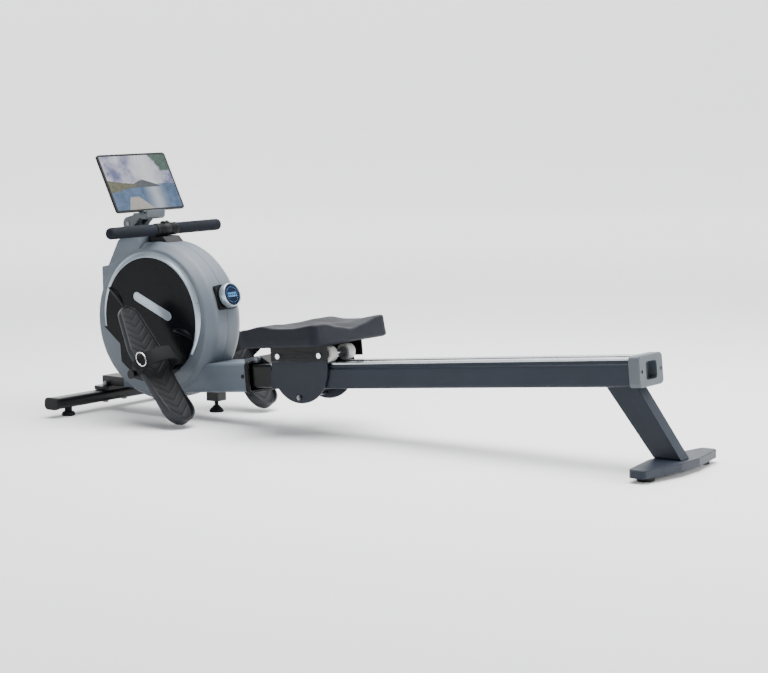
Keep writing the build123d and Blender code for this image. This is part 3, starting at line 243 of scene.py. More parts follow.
def lathe(profile, place, steps=64):
    """Rings from a profile of (radius, distance along the axis)."""
    turns = [2 * pi * i / steps for i in range(steps)]
    rings = []
    for radius, w in profile:
        r = max(radius, AXIS_HOLE)
        rings.append([place(r * cos(a), r * sin(a), w) for a in turns])
    return rings


def sweep(path, section, sideways, closed=False):
    """Rings of a section (across, outwards) carried along a path of points in metres."""
    rings, count = [], len(path)
    for i, p in enumerate(path):
        ahead = path[(i + 1) % count] if closed else path[min(i + 1, count - 1)]
        behind = path[i - 1] if closed else path[max(i - 1, 0)]
        outwards = (ahead - behind).normalized().cross(sideways).normalized()
        rings.append([p + sideways * (a * MM) + outwards * (b * MM) for a, b in section])
    return rings


# ---------------------------------------------------------------- materials
class Finish:
    """A node material with a few words for its common parts."""

    def __init__(self, name, stretch=(1, 1, 1)):
        self.made = bpy.data.materials.new(name)
        self.made.use_nodes = True
        self.tree = self.made.node_tree
        self.shader = self.tree.nodes["Principled BSDF"]
        self.place = self.node("ShaderNodeTexCoord").outputs["Object"]
        if stretch != (1, 1, 1):
            mapping = self.node("ShaderNodeMapping")
            mapping.inputs["Scale"].default_value = stretch
            self.link(self.place, mapping.inputs["Vector"])
            self.place = mapping.outputs["Vector"]

    def node(self, kind, **values):
        made = self.tree.nodes.new(kind)
        for key, value in values.items():
            setattr(made, key, value)
        return made

    def link(self, start, end):
        self.tree.links.new(start, end)

    def fill(self, socket, value):
        """Give an input a number, a colour or another node's output."""
        if isinstance(value, (int, float)):
            socket.default_value = value
        elif isinstance(value, tuple):
            socket.default_value = (*value, 1)
        else:
            self.link(value, socket)

    def maths(self, operation, a, b=0.0):
        made = self.node("ShaderNodeMath", operation=operation)
        self.fill(made.inputs[0], a)
        self.fill(made.inputs[1], b)
        return made.outputs[0]

    def mixed(self, share, a, b):
        """Colour a where share is 0, and colour b where it is 1."""
        made = self.node("ShaderNodeMix", data_type="RGBA")
        self.fill(made.inputs["Factor"], share)
        self.fill(made.inputs[6], a)
        self.fill(made.inputs[7], b)
        return made.outputs[2]

    def above(self, value, level, soft=0.02):
        """1 where a value is over a level, with a soft edge."""
        made = self.node("ShaderNodeMapRange", interpolation_type="SMOOTHSTEP")
        made.inputs["From Min"].default_value = level - soft
        made.inputs["From Max"].default_value = level + soft
        self.link(value, made.inputs["Value"])
        return made.outputs["Result"]

    def noise(self, scale, detail=3):
        made = self.node("ShaderNodeTexNoise")
        made.inputs["Scale"].default_value = scale
        made.inputs["Detail"].default_value = detail
        self.link(self.place, made.inputs["Vector"])
        return made.outputs["Fac"]

    def ramp(self, value, low, high, start=0.3, end=0.7):
        made = self.node("ShaderNodeValToRGB")
        made.color_ramp.elements[0].position = start
        made.color_ramp.elements[1].position = end
        made.color_ramp.elements[0].color = (*low, 1)
        made.color_ramp.elements[1].color = (*high, 1)
        self.link(value, made.inputs["Fac"])
        return made.outputs["Color"]

    def ranged(self, value, low, high):
        made = self.node("ShaderNodeMapRange")
        made.inputs["To Min"].default_value = low
        made.inputs["To Max"].default_value = high
        self.link(value, made.inputs["Value"])
        return made.outputs["Result"]

    def raised(self, value, strength, distance=0.0004):
        made = self.node("ShaderNodeBump")
        made.inputs["Strength"].default_value = strength
        made.inputs["Distance"].default_value = distance
        self.link(value, made.inputs["Height"])
        self.link(made.outputs["Normal"], self.shader.inputs["Normal"])


def paint(
    name, colour, rough, metal=0.0, vary=0.06, grain=1400, depth=0.08, coat=0.0, stretch=(1, 1, 1), shine=0.5
):
    """Paint, plastic, rubber or metal: slight changes of colour and gloss, and a fine grain."""
    made = Finish(name, stretch)
    low, high = ([c * (1 + f * vary) for c in colour] for f in (-1, 1))
    made.link(made.ramp(made.noise(9, 4), low, high), made.shader.inputs["Base Color"])
    made.link(made.ranged(made.noise(45, 5), rough - 0.07, rough + 0.07), made.shader.inputs["Roughness"])
    made.raised(made.noise(grain, 2), depth)
    made.shader.inputs["Metallic"].default_value = metal
    made.shader.inputs["Specular IOR Level"].default_value = shine
    made.shader.inputs["Coat Weight"].default_value = coat
    made.shader.inputs["Coat Roughness"].default_value = 0.12
    return made.made


def woven(name, colour):
    """Webbing: two crossing rows of threads."""
    made = Finish(name)
    heights = []
    for direction in ("X", "Y"):
        wave = made.node("ShaderNodeTexWave", bands_direction=direction)
        wave.inputs["Scale"].default_value = 320
        wave.inputs["Distortion"].default_value = 0.6
        made.link(made.place, wave.inputs["Vector"])
        heights.append(wave.outputs["Fac"])
    threads = made.maths("MULTIPLY", *heights)
    low, high = [c * 0.7 for c in colour], [c * 1.5 for c in colour]
    made.link(made.ramp(threads, low, high), made.shader.inputs["Base Color"])
    made.shader.inputs["Roughness"].default_value = 0.85
    made.shader.inputs["Specular IOR Level"].default_value = 0.3
    made.raised(threads, 0.5, 0.0006)
    return made.made


PAINTS = {
    "dark_paint": dict(colour=(0.0115, 0.0165, 0.027), rough=0.42, shine=0.25),
    "black_paint": dict(colour=(0.0032, 0.0036, 0.0045), rough=0.3, shine=0.22),
    "housing_plastic": dict(colour=(0.092, 0.112, 0.135), rough=0.5, vary=0.03, depth=0.05, shine=0.5),
    "cover_plastic": dict(colour=(0.0022, 0.003, 0.0045), rough=0.25, vary=0.2, shine=0.12),
    "black_plastic": dict(colour=(0.0045, 0.005, 0.006), rough=0.5, depth=0.12, shine=0.2),
    "cap_plastic": dict(colour=(0.070, 0.085, 0.098), rough=0.45, depth=0.1),
    "silver_trim": dict(colour=(0.40, 0.47, 0.53), rough=0.3, metal=0.7, vary=0.04, stretch=(1, 8, 1)),
    "track_steel": dict(colour=(0.42, 0.44, 0.47), rough=0.24, metal=1.0, vary=0.05, stretch=(1, 30, 30)),
    "zinc_steel": dict(colour=(0.20, 0.205, 0.215), rough=0.34, metal=1.0, vary=0.12),
    "chrome": dict(colour=(0.82, 0.83, 0.85), rough=0.12, metal=1.0, vary=0.03, depth=0.02),
    "cast_iron": dict(colour=(0.08, 0.08, 0.085), rough=0.5, metal=0.8, grain=700, depth=0.25),
    "aluminium": dict(colour=(0.6, 0.61, 0.63), rough=0.35, metal=1.0, stretch=(1, 12, 1)),
    "rubber": dict(colour=(0.006, 0.006, 0.007), rough=0.72, vary=0.15, grain=900, depth=0.2, shine=0.3),
    "grip_foam": dict(
        colour=(0.0085, 0.0105, 0.015), rough=0.85, vary=0.2, grain=1100, depth=0.5, shine=0.15
    ),
    "seat_foam": dict(
        colour=(0.0085, 0.0105, 0.0155), rough=0.56, vary=0.08, grain=1600, depth=0.22, shine=0.2
    ),
    "roller_plastic": dict(colour=(0.50, 0.50, 0.48), rough=0.4, vary=0.04),
    "magnet": dict(colour=(0.4, 0.4, 0.42), rough=0.3, metal=1.0),
    "footrest": dict(colour=(0.013, 0.0135, 0.0155), rough=0.6, vary=0.12, grain=900, depth=0.25, shine=0.2),
    "footrest_shell": dict(colour=(0.0095, 0.012, 0.016), rough=0.42, vary=0.1, shine=0.25),
}
FINISHES = {name: paint(name, **look) for name, look in PAINTS.items()}
FINISHES["webbing"] = woven("webbing", (0.0045, 0.005, 0.006))

# the frame is painted grey, with a black neck and a black levelling block; the limits are in metres
BLOCK_FRONT, BLOCK_REAR, BLOCK_TOP, NECK_REAR = -0.60, -0.52, 0.0795, -0.90
painted = Finish("frame_paint")
split = painted.node("ShaderNodeSeparateXYZ")
painted.link(painted.place, split.inputs[0])
along_x, up_z = split.outputs["X"], split.outputs["Z"]
behind_front = painted.maths("GREATER_THAN", along_x, BLOCK_FRONT)
before_rear = painted.maths("LESS_THAN", along_x, BLOCK_REAR)
over_block = painted.maths("MULTIPLY", behind_front, before_rear)
block_below = painted.maths("MULTIPLY", over_block, painted.maths("LESS_THAN", up_z, BLOCK_TOP))
black_zone = painted.maths("MAXIMUM", painted.maths("LESS_THAN", along_x, NECK_REAR), block_below)
grey = painted.ramp(painted.noise(9, 4), (0.088, 0.108, 0.134), (0.098, 0.120, 0.148))
dark = painted.ramp(painted.noise(9, 4), (0.0035, 0.004, 0.005), (0.0045, 0.005, 0.006))
painted.link(painted.mixed(black_zone, grey, dark), painted.shader.inputs["Base Color"])
painted.link(painted.ranged(painted.noise(45, 5), 0.35, 0.48), painted.shader.inputs["Roughness"])
painted.raised(painted.noise(1400, 2), 0.08)
painted.shader.inputs["Specular IOR Level"].default_value = 0.4
FINISHES["frame_paint"] = painted.made


# ---------------------------------------------------------------- pieces
def lofted(bm, rings, wrap=False):
    """Add a body that runs through rings of equal length, capped at both ends unless it wraps round."""
    loops = [[bm.verts.new(p) for p in ring] for ring in rings]
    pairs = list(zip(loops, loops[1:])) + ([(loops[-1], loops[0])] if wrap else [])
    for a, b in pairs:
        for i in range(len(a)):
            j = (i + 1) % len(a)
            bm.faces.new((a[i], a[j], b[j], b[i]))
    if not wrap:
        bm.faces.new(loops[0])
        bm.faces.new(loops[-1])


def piece(name, bodies, body, finish, replaces=(), bevel=0.0, sharp=32):
    """One object made of lofted bodies, each a list of rings or (rings, "wrap")."""
    bm = bmesh.new()
    for made in bodies:
        if isinstance(made, tuple):
            lofted(bm, made[0], wrap=True)
        else:
            lofted(bm, made)
    return dressed(finished(bm, name), body, finish, replaces, bevel, sharp)


def finished(bm, name):
    """An object from a mesh that has been built, with its faces turned outwards."""
    bmesh.ops.recalc_face_normals(bm, faces=bm.faces)
    mesh = bpy.data.meshes.new(name)
    bm.to_mesh(mesh)
    bm.free()
    return bpy.data.objects.new(name, mesh)


def dressed(obj, body, finish, replaces=(), bevel=0.0, sharp=32):
    """Link an object, give it its finish and edges, and let it ride on its body."""
    bpy.context.scene.collection.objects.link(obj)
    obj.data.materials.clear()
    obj.data.materials.append(FINISHES[finish])
    soften(obj, bevel, sharp)
    if body:
        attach(obj, body)
    if replaces:
        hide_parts(*replaces)
    return obj


def soften(obj, bevel, sharp=32):
    """Smooth shading, with either rounded edges or sharp ones past an angle."""
    for face in obj.data.polygons:
        face.use_smooth = True
    if not bevel:
        obj.data.set_sharp_from_angle(angle=radians(sharp))
        return
    round_edges(obj, bevel, sharp)


def cad(name, finish, bevel=0.0, sharp=32):
    """Show a CAD node as it is, with its finish and slightly rounded edges."""
    obj = nodes[name]
    obj.data.materials.clear()
    obj.data.materials.append(FINISHES[finish])
    if bevel:
        joined = obj.modifiers.new("joined", "WELD")
        joined.merge_threshold = 0.00002
        round_edges(obj, bevel, sharp)


def round_edges(obj, bevel, sharp):
    """Modifiers that round the edges past an angle and leave the mesh itself alone."""
    edges = obj.modifiers.new("edges", "BEVEL")
    edges.width = bevel * MM
    edges.segments = 3
    edges.limit_method = "ANGLE"
    edges.angle_limit = radians(sharp)
    shading = obj.modifiers.new("shading", "WEIGHTED_NORMAL")
    shading.keep_sharp = True


SLOT_OF = {s["node"]: s["material_slot"] for s in frame["record"]["subparts"]}

# nodes that are shown as built, with the width of their rounded edges
for name, bevel in {
    "main_frame": 2.2,
    "stabilizer_bracket": 1.5,
    "front_stabilizer": 0,
    "stabilizer_end_caps": 2.5,
    "handlebar_cradle": 3,
    "console_base": 2.5,
    "drive_axles": 0,
    "axle_bearings": 0,
    "return_spring": 0,
    "drive_belt": 0,
    "pivot_pins": 0,
    "footrest_axle": 1.5,
    "flywheel": 0,
    "flywheel_pulley": 0,
    "spool": 0,
    "drive_pulley": 0,
    "guide_roller": 0,
    "magnet_bracket": 0,
    "brake_magnets": 0,
    "handle_tube": 0,
    "tablet_holder": 1.6,
    "tablet_body": 1.2,
    "rail_body": 1.6,
    "rail_tracks": 1.2,
    "seat_stops": 1.5,
    "end_cap": 1.2,
    "rail_fasteners": 0.6,
    "rear_leg": 3,
    "rear_foot": 1.5,
    "hinge_discs": 0.8,
    "hinge_block": 2.5,
    "seat_base": 1,
    "carriage_plates": 1,
    "roller_axles": 1,
    "lock_pin": 2,
    "stabilizer_bolts": 0.6,
}.items():
    cad(name, "black_paint" if name == "footrest_axle" else SLOT_OF[name], bevel)


# ---------------------------------------------------------------- casing
CASING_R, CASING_FACE, CREASE, FACE_Y = 232, 212, 46, 75
SHELL, SEAM = 3, 0.25
COVER_OUT = FACE_Y + 5
# profiles of the round casing as (radius, distance from the middle plane)
CASING_OUTSIDE = [
    (0, FACE_Y),
    (120, FACE_Y),
    (CASING_FACE, FACE_Y),
    (CASING_R, CREASE),
    (CASING_R, SEAM + 0.7),
    (CASING_R - 0.8, SEAM),
]
CASING_INSIDE = [
    (CASING_R - SHELL, SEAM),
    (CASING_R - SHELL, CREASE - 1),
    (CASING_FACE - SHELL, FACE_Y - SHELL),
    (0, FACE_Y - SHELL),
]


def column_outline():
    """Side outline of the column under the tablet: its foot along the drum, then up its front and over."""
    reach = CASING_FACE - SHELL - 2
    front, rear = -937, -783
    start, end = (180 - degrees(acos((DRUM_X - x) / reach)) for x in (rear, front))
    foot = arc(DRUM_X, CASING_Z, reach, start, end, 14)
    top = [(front, 433), (-911, 438), (-868, 514), (-846, 540), (-835, 552), (-785, 552)]
    return foot + top


def column(hand):
    """Half of the column, narrower towards its top, with rounded edges."""
    half = FACE_Y - 3
    bm = bmesh.new()
    lofted(bm, prism(column_outline(), -half, half, side))
    bmesh.ops.recalc_face_normals(bm, faces=bm.faces)
    for y in (LEFT, RIGHT):
        cut_off(bm, side(0, 505, y * 76), Vector((0, y * 55, 35)).normalized())
    edges = [e for e in bm.edges if e.calc_face_angle(0) > radians(24)]
    bmesh.ops.bevel(
        bm, geom=edges, offset=5 * MM, segments=4, profile=0.5, affect="EDGES", clamp_overlap=True
    )
    cut_off(bm, Vector((0, hand * SEAM * MM, 0)), Vector((0, -hand, 0)))
    return bm


def cut_off(bm, point, direction):
    """Cut away what lies beyond a plane and close the hole."""
    parts = bm.verts[:] + bm.edges[:] + bm.faces[:]
    made = bmesh.ops.bisect_plane(bm, geom=parts, plane_co=point, plane_no=direction, clear_outer=True)
    rim = [e for e in made["geom_cut"] if isinstance(e, bmesh.types.BMEdge)]
    if rim:
        bmesh.ops.contextual_create(bm, geom=rim)


def housing(hand, word):
    """One half of the casing: a hollow round shell and half of the column."""
    bm = column(hand)
    profile = softened(CASING_OUTSIDE, [1, 5, 9, 0.2]) + CASING_INSIDE
    lofted(bm, lathe(profile, mirrored(hand, DRUM_X, CASING_Z), 192), wrap=True)
    casing = finished(bm, f"casing_{word}")
    dressed(casing, "frame", "housing_plastic", (f"housing_{word}",), sharp=50)


for hand, word in HANDS:
    housing(hand, word)

# side covers with two moulded ridges, silver rings and plain badges
RING_IN, RING_OUT = 179, 196


def cover_outline():
    """Disc with a notch in its lower front, whose line runs between two angles of the rim."""
    notch = [(-926, 256), (-862, 207), (-861, 183)]
    notch_start, notch_end = 192, 228
    return arc(DRUM_X, DRUM_Z, RING_IN - 0.5, notch_end - 360, notch_start, 96) + notch


def ridge(points, width, height, hand):
    """A moulded ridge that tapers at both ends."""
    count = 24
    base = COVER_OUT - 0.4
    a, b, c = (Vector(p) for p in points)
    path, rings = [], []
    for i in range(count + 1):
        t = i / count
        path.append(a * (1 - t) ** 2 + b * 2 * t * (1 - t) + c * t * t)
    for i, p in enumerate(path):
        direction = (path[min(i + 1, count)] - path[max(i - 1, 0)]).normalized()
        beside_it = Vector((-direction.y, direction.x))
        swell = max(0.05, sin(pi * i / count)) ** 0.6
        ring = []
        for j in range(9):
            angle = pi * j / 8
            q = p + beside_it * (cos(angle) * width * swell / 2)
            ring.append(side(q.x, q.y, hand * (base + sin(angle) * height * swell)))
        rings.append(ring)
    return rings


for hand, word in HANDS:
    bodies = [
        prism(cover_outline(), FACE_Y, COVER_OUT, mirrored(hand)),
        ridge([(-905, 372), (-868, 362), (-846, 318)], 20, 5, hand),
        ridge([(-650, 258), (-610, 268), (-574, 240)], 18, 4.5, hand),
    ]
    name = f"side_cover_{word}_moulded"
    piece(name, bodies, "frame", "cover_plastic", (f"side_cover_{word}",), bevel=1.2)


def ring_section(angle):
    """Section of the silver ring: its face leans outwards, and it thins towards both ends."""
    ends = smooth(-33, 10, angle) * (1 - smooth(110, 200, angle))
    outer = RING_IN + 4 + (RING_OUT - RING_IN - 4) * (0.25 + 0.75 * ends)
    height = 3 + 4 * (0.4 + 0.6 * ends)
    return [
        (RING_IN, FACE_Y),
        (RING_IN, FACE_Y + height - 1),
        (RING_IN + 1, FACE_Y + height),
        (RING_IN + 3, FACE_Y + height),
        (outer - 1, FACE_Y + 2),
        (outer, FACE_Y + 1),
        (outer, FACE_Y),
    ]


def silver_ring(hand):
    """The ring of one side, from low at the rear over the top to the front."""
    rings = []
    for i in range(161):
        angle = -31 + 221 * i / 160
        turned = radians(angle)
        section = ring_section(angle)
        rings.append(
            [side(DRUM_X + r * cos(turned), DRUM_Z + r * sin(turned), hand * y) for r, y in section]
        )
    return rings


trims = [silver_ring(hand) for hand in (LEFT, RIGHT)]
piece("silver_rings", trims, "frame", "silver_trim", ("trim_rings",), sharp=40)


BADGE_X, BADGE_Z, BADGE_SLOPE = -728, 326, radians(-23)
# how far each ring of a badge lies outside its outline, and its height over the cover
BADGE_STEPS = ((0, 0), (0, 1.2), (-0.8, 2), (-2.6, 2), (-3.2, 1.5), (-8, 1.5))


def capsule(length, width, grow):
    """Outline of a badge turned to its slope."""
    half, r = (length - width) / 2, width / 2 + grow
    points = arc(half, 0, r, -90, 90, 16) + arc(-half, 0, r, 90, 270, 16)
    c, s = cos(BADGE_SLOPE), sin(BADGE_SLOPE)
    return [(BADGE_X + x * c - y * s, BADGE_Z + x * s + y * c) for x, y in points]


def badge(hand):
    """A plain capsule with a raised rim."""
    place = mirrored(hand)
    return [[place(u, v, COVER_OUT + h) for u, v in capsule(158, 27, grow)] for grow, h in BADGE_STEPS]


badges = [badge(hand) for hand in (LEFT, RIGHT)]
piece("plain_badges", badges, "frame", "silver_trim", ("side_badges",), sharp=25)

# ---------------------------------------------------------------- console
# profiles as (radius, distance from the drum's axis)
KNOB = [
    (31.05, 242.2),
    (31.05, 262),
    (31.8, 263),
    (33.6, 263),
    (34.6, 262.2),
    (35, 261),
    (35, 243),
    (34.4, 242.2),
]
LENS_FACE = 262.5
LENS = [(30.4, 261.2), (30.4, 262), (24, 262.4), (12, LENS_FACE), (0, LENS_FACE)]
knob = (lathe(KNOB, console, 96), "wrap")
piece("console_ring", [knob], "resistance_knob", "silver_trim", ("resistance_knob",), sharp=40)

FINISHES["display_glass"] = paint(
    "display_glass", (0.004, 0.009, 0.03), 0.06, vary=0.3, grain=300, depth=0.0, coat=1.0
)
lit = Finish("display_marks")
for socket in ("Base Color", "Emission Color"):
    lit.link(lit.ramp(lit.noise(60), (0.08, 0.3, 0.65), (0.2, 0.5, 0.85)), lit.shader.inputs[socket])
lit.shader.inputs["Emission Strength"].default_value = 0.7
FINISHES["display_marks"] = lit.made
lens = lathe(LENS, console, 64)
piece("console_lens", [lens], "frame", "display_glass", ("console_display",))


def bar(u, v, width, height, base):
    """A thin lit mark on the lens."""
    outline = rounded_box(width, height, min(width, height) * 0.3, u, v, 2)
    return prism(outline, base, base + MARK_THICK, console)


# four plain digits, each of two level and four upright bars, in a ring of dots
MARK_THICK = 0.25
DOTS, DOT_CIRCLE, DOT = 24, 22.5, 1.3
marks = []
for digit in range(4):
    u = -13.5 + digit * 9
    marks += [bar(u, v, 4, 1.1, LENS_FACE) for v in (-6, 6)]
    marks += [bar(u + du, v, 1.1, 4.6, LENS_FACE) for du in (-2.6, 2.6) for v in (-3, 3)]
for i in range(DOTS):
    angle = 2 * pi * i / DOTS
    marks.append(bar(DOT_CIRCLE * cos(angle), DOT_CIRCLE * sin(angle), DOT, DOT, LENS_FACE - 0.1))
piece("console_marks", marks, "frame", "display_marks")

# ---------------------------------------------------------------- seat
SEAT_FRONT, SEAT_REAR, SEAT_HALF = -330, -34, 165
SEAT_MIDDLE = (SEAT_FRONT + SEAT_REAR) / 2
TOP_EDGE = 8  # radius of the cushion's top edge


def seat_height(s, y):
    """Top of the cushion: a low front, two thigh hollows and a raised rear edge, lowest at its middle."""
    rear = smooth(-130, -45, s)
    edge = smooth(60, 130, abs(y))
    top = 177.5 + 8.5 * rear * edge - 10 * rear * (1 - smooth(10, 110, abs(y)))
    top -= 3 * (1 - smooth(-330, -255, s))
    top += 7.5 * bump(s, -238, 36) * smooth(20, 90, abs(y))
    top -= 6 * bump(s, -160, 48) * bump(abs(y), 78, 42)
    top -= 5 * bump(y, 0, 26) * smooth(-310, -240, s)
    return top


def seat_rings():
    """Side wall, rounded top edge and contoured top, as rings that close towards the middle."""
    outline = even(rounded_box(SEAT_REAR - SEAT_FRONT, 2 * SEAT_HALF, 32, SEAT_MIDDLE, 0, 10), 240)
    rings = []
    for low in (126, 127):
        rings.append([rail(SEAT_MIDDLE + (s - SEAT_MIDDLE) * 0.965, low, y * 0.965) for s, y in outline])
    for amount, low in ((3, 128), (0.6, 130), (0, 133), (2.2, 150)):
        rings.append([rail(s, low, y) for s, y in inset(outline, amount)])
    for step in range(7):
        angle = pi / 2 * step / 6
        moved = inset(outline, TOP_EDGE * (1 - cos(angle)) + 4.5)
        drop = TOP_EDGE * (1 - sin(angle))
        rings.append([rail(s, seat_height(s, y) - drop, y) for s, y in moved])
    rim = inset(outline, TOP_EDGE + 4.5)
    for i in range(1, 40):
        k = (1 - i / 40) ** 1.1
        points = [(SEAT_MIDDLE + (s - SEAT_MIDDLE) * k, y * k) for s, y in rim]
        rings.append([rail(s, seat_height(s, y), y) for s, y in points])
    return rings


cushion = piece("moulded_seat", [seat_rings()], "seat", "seat_foam", ("seat_cushion",), sharp=60)

# ---------------------------------------------------------------- rollers
# profiles as (radius, distance from the middle plane); the second is the cap of a bearing
ROLLER = [(6, 26), (15, 26), (15.5, 24.6), (20.5, 24.6), (22.1, 25.4), (22.65, 27), (22.65, 52), (22.1, 53.6)]
ROLLER += [(20.5, 54.4), (15.5, 54.4), (15, 53), (6, 53)]
BEARING = ((5.2, 0), (14.6, 0), (14.6, 0.5), (12, 0.9), (5.2, 0.5))


def turned_pair(profile, place, steps):
    """The same closed profile turned on the left and on the right."""
    return [(lathe([(r, hand * w) for r, w in profile], place, steps), "wrap") for hand in (LEFT, RIGHT)]


for name, s in (("front_rollers", -246.8), ("rear_rollers", -99.2)):
    rollers = turned_pair(ROLLER, axle(s), 72)
    piece(f"{name}_turned", rollers, name, "roller_plastic", (name,), sharp=35)
    hubs = []
    for base in (25.6, 53.2):
        hubs += turned_pair([(r, base + w) for r, w in BEARING], axle(s), 48)
    piece(f"{name}_hubs", hubs, name, "zinc_steel", sharp=35)

# ---------------------------------------------------------------- handlebar
# profiles as (radius, distance from the middle plane)
handle = across(HANDLE_X, HANDLE_Z)
GRIP_R, GRIP_END, GRIP_NOSE = 17, 224.8, 9
GRIP = [(12.6, 45), (15.6, 45), (16.6, 46.5), (GRIP_R, 49), (GRIP_R, 224)]
for degree in range(10, 91, 10):
    a = radians(degree)
    GRIP.append((GRIP_R - GRIP_NOSE * (1 - cos(a)), GRIP_END + GRIP_NOSE * sin(a)))
GRIP.append((0, 233.9))
grips = [lathe([(r, hand * w) for r, w in GRIP], handle) for hand in (LEFT, RIGHT)]
piece("foam_grips", grips, "handlebar", "grip_foam", ("handle_grips",), sharp=50)

# clamp with seven grooves on each side of its plain middle
RIB_PITCH = 4
clamp_profile = [(12.6, -44), (17.4, -44), (18.4, -43)]
for i in range(7):
    w = -40 + i * RIB_PITCH
    clamp_profile += [(18.6, w), (18.6, w + 2.2), (17.6, w + 2.8), (17.6, w + 3.6)]
clamp_profile += [(19, -11), (19.4, -9), (19.4, 9), (19, 11)]
for i in range(7):
    w = 12.4 + i * RIB_PITCH
    clamp_profile += [(17.6, w), (17.6, w + 0.8), (18.6, w + 1.4), (18.6, w + 3.4)]
clamp_profile += [(18.4, 43), (17.4, 44), (12.6, 44)]
clamp = (lathe(clamp_profile, handle), "wrap")


def lid_place(u, v, w):
    """u across, v along X and w up from the handlebar's axis."""
    return side(HANDLE_X + v, HANDLE_Z + w, u)


lid = prism(rounded_box(24, 20, 4, 0, 0, 5), 17.5, 22.5, lid_place)
piece("handle_clamp", [clamp, lid], "handlebar", "black_plastic", ("handle_bracket",), sharp=30)
block = prism(rounded_box(24, 22, 5, HANDLE_X - 18, HANDLE_Z + 2, 5), -15, 15, side)
piece("handle_block", [block], "handlebar", "black_plastic", bevel=2)
SCREW = [(3.6, 0), (3.6, 2.4), (2.6, 3.2), (1.9, 3.2), (1.9, 1.4), (0, 1.4)]
LID_TOP = 568.3
screws = [lathe(SCREW, over_handle(y, LID_TOP), 24) for y in (-8, 8)]
piece("handle_screws", screws, "handlebar", "zinc_steel", sharp=30)

# ---------------------------------------------------------------- pull strap
STRAP_SECTION = rounded_box(25, 1.6, 0.7, 0, 0, 2)
GUIDE_R, SPOOL_R = 11.2, 24.2  # radii of the strap's middle round the guide roller and the spool
SPOOL_ANGLE = radians(34)
GUIDE_TURN = [radians(a) for a in range(202, 89, -8)]
guide = [(GUIDE_X + GUIDE_R * cos(a), GUIDE_Z + GUIDE_R * sin(a)) for a in GUIDE_TURN]
spool_x = SPOOL_X - SPOOL_R * cos(SPOOL_ANGLE)
spool_z = SPOOL_Z - SPOOL_R * sin(SPOOL_ANGLE)
guide_x, guide_z = guide[0]
run_up = [(spool_x + (guide_x - spool_x) * i / 24, spool_z + (guide_z - spool_z) * i / 24) for i in range(24)]
inside = sweep([side(u, v, 0) for u, v in run_up + guide], STRAP_SECTION, ACROSS)
piece("strap_in_casing", [inside], "frame", "webbing", ("pull_strap",), sharp=50)
run_out = [(GUIDE_X + 34.0 * i / 70, 545.2) for i in range(71)]
outside = sweep([side(u, v, 0) for u, v in run_out], STRAP_SECTION, ACROSS)
strap = piece("webbing_strap", [outside], None, "webbing", ("pull_strap",), sharp=50)
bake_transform(strap)

# ---------------------------------------------------------------- footplates
def sole_outline(hand):
    """Outline of a sole, with its toe nearer the machine."""
    return even(hull([(-160, -hand * 15, 38), (-48, -hand * 3, 60), (146, 0, 52)]), 200)


def span(outline, u, margin):
    """Low and high edge of an outline at u, less a margin."""
    found = []
    for (a, b), (c, d) in zip(outline, outline[1:] + outline[:1]):
        if (a - u) * (c - u) <= 0 and a != c:
            found.append(b + (d - b) * (u - a) / (c - a))
    middle = (min(found) + max(found)) / 2
    return min(middle - 0.5, min(found) + margin), max(middle + 0.5, max(found) - margin)


def heel_rise(u):
    """How much higher the rim stands round the heel."""
    return 13 * smooth(60, 185, u)


def sole_shell(place, hand):
    """Moulded sole: a thin side wall, a raised rounded rim that climbs round the heel, and a flat floor."""
    wall = ((9, -13.5), (3, -14), (1, -12.5), (0, -9), (0, 2), (0.6, 4.2), (2.4, 5.2), (4.2, 4.4), (5, 2.2))
    rings = []
    for move, height in wall:
        lift = smooth(-4, 2, height)
        outline = inset(sole_outline(hand), move)
        rings.append([place(u, height + heel_rise(u) * lift, w) for u, w in outline])
    rings.append([place(u, 1.2, w) for u, w in inset(sole_outline(hand), 5.4)])
    return rings


def groove(u, w):
    """Depth of the chevron tread, 0 to 1."""
    pitch = 25
    phase = (u + abs(w) * 0.72 + 400) % pitch
    return 1 - smooth(1.6, 3.4, min(phase, pitch - phase))


def tread(place, hand):
    """The rubber pad with chevron grooves, as a fine sheet with a skirt under its edge."""
    columns, rows = 190, 60
    end, fade = 191, 9
    outline = sole_outline(hand)
    rings = []
    for i in range(columns + 1):
        u = -191.5 + 383 * i / columns
        low, high = span(outline, u, 6.4)
        middle = (low + high) / 2
        along = smooth(-end, fade - end, u) * (1 - smooth(end - fade, end, u))
        ring = []
        for j in range(rows + 1):
            w = low + (high - low) * j / rows
            inner = smooth(0, fade, min(w - low, high - w)) * along
            height = 2.6 + 1.0 * inner - 2.2 * groove(u, w - middle) * inner + 0.25 * heel_rise(u)
            ring.append(place(u, height, w))
        ring += [place(u, 0.3, high), place(u, 0.3, low)]
        rings.append(ring)
    return rings


def hub(place):
    """The wedge under the sole that turns on the axle."""
    return prism(hull([(0, -PEDAL_DROP, 15), (-44, -13, 3), (44, -13, 3)]), -40, 40, place)


# one half of the strap's arch over the foot as (across, height), and the whole of it
ARCH_SIDE = [(-62.5, 8), (-61, 24), (-54, 40), (-42, 52), (-26, 59), (-8, 62)]
ARCH = [(-62, -9)] + ARCH_SIDE + [(-x, y) for x, y in ARCH_SIDE[::-1]] + [(62, -9)]
FLAP_LIFT = 3.4


def curve(points, steps):
    """A smooth line through points."""
    result = []
    for i in range(len(points) - 1):
        a, b = Vector(points[max(i - 1, 0)]), Vector(points[i])
        c, d = Vector(points[i + 1]), Vector(points[min(i + 2, len(points) - 1)])
        for k in range(steps):
            t = k / steps
            squared = 2 * a - 5 * b + 4 * c - d
            cubed = 3 * b - a - 3 * c + d
            result.append(0.5 * (2 * b + (c - a) * t + squared * t**2 + cubed * t**3))
    return result + [Vector(points[-1])]


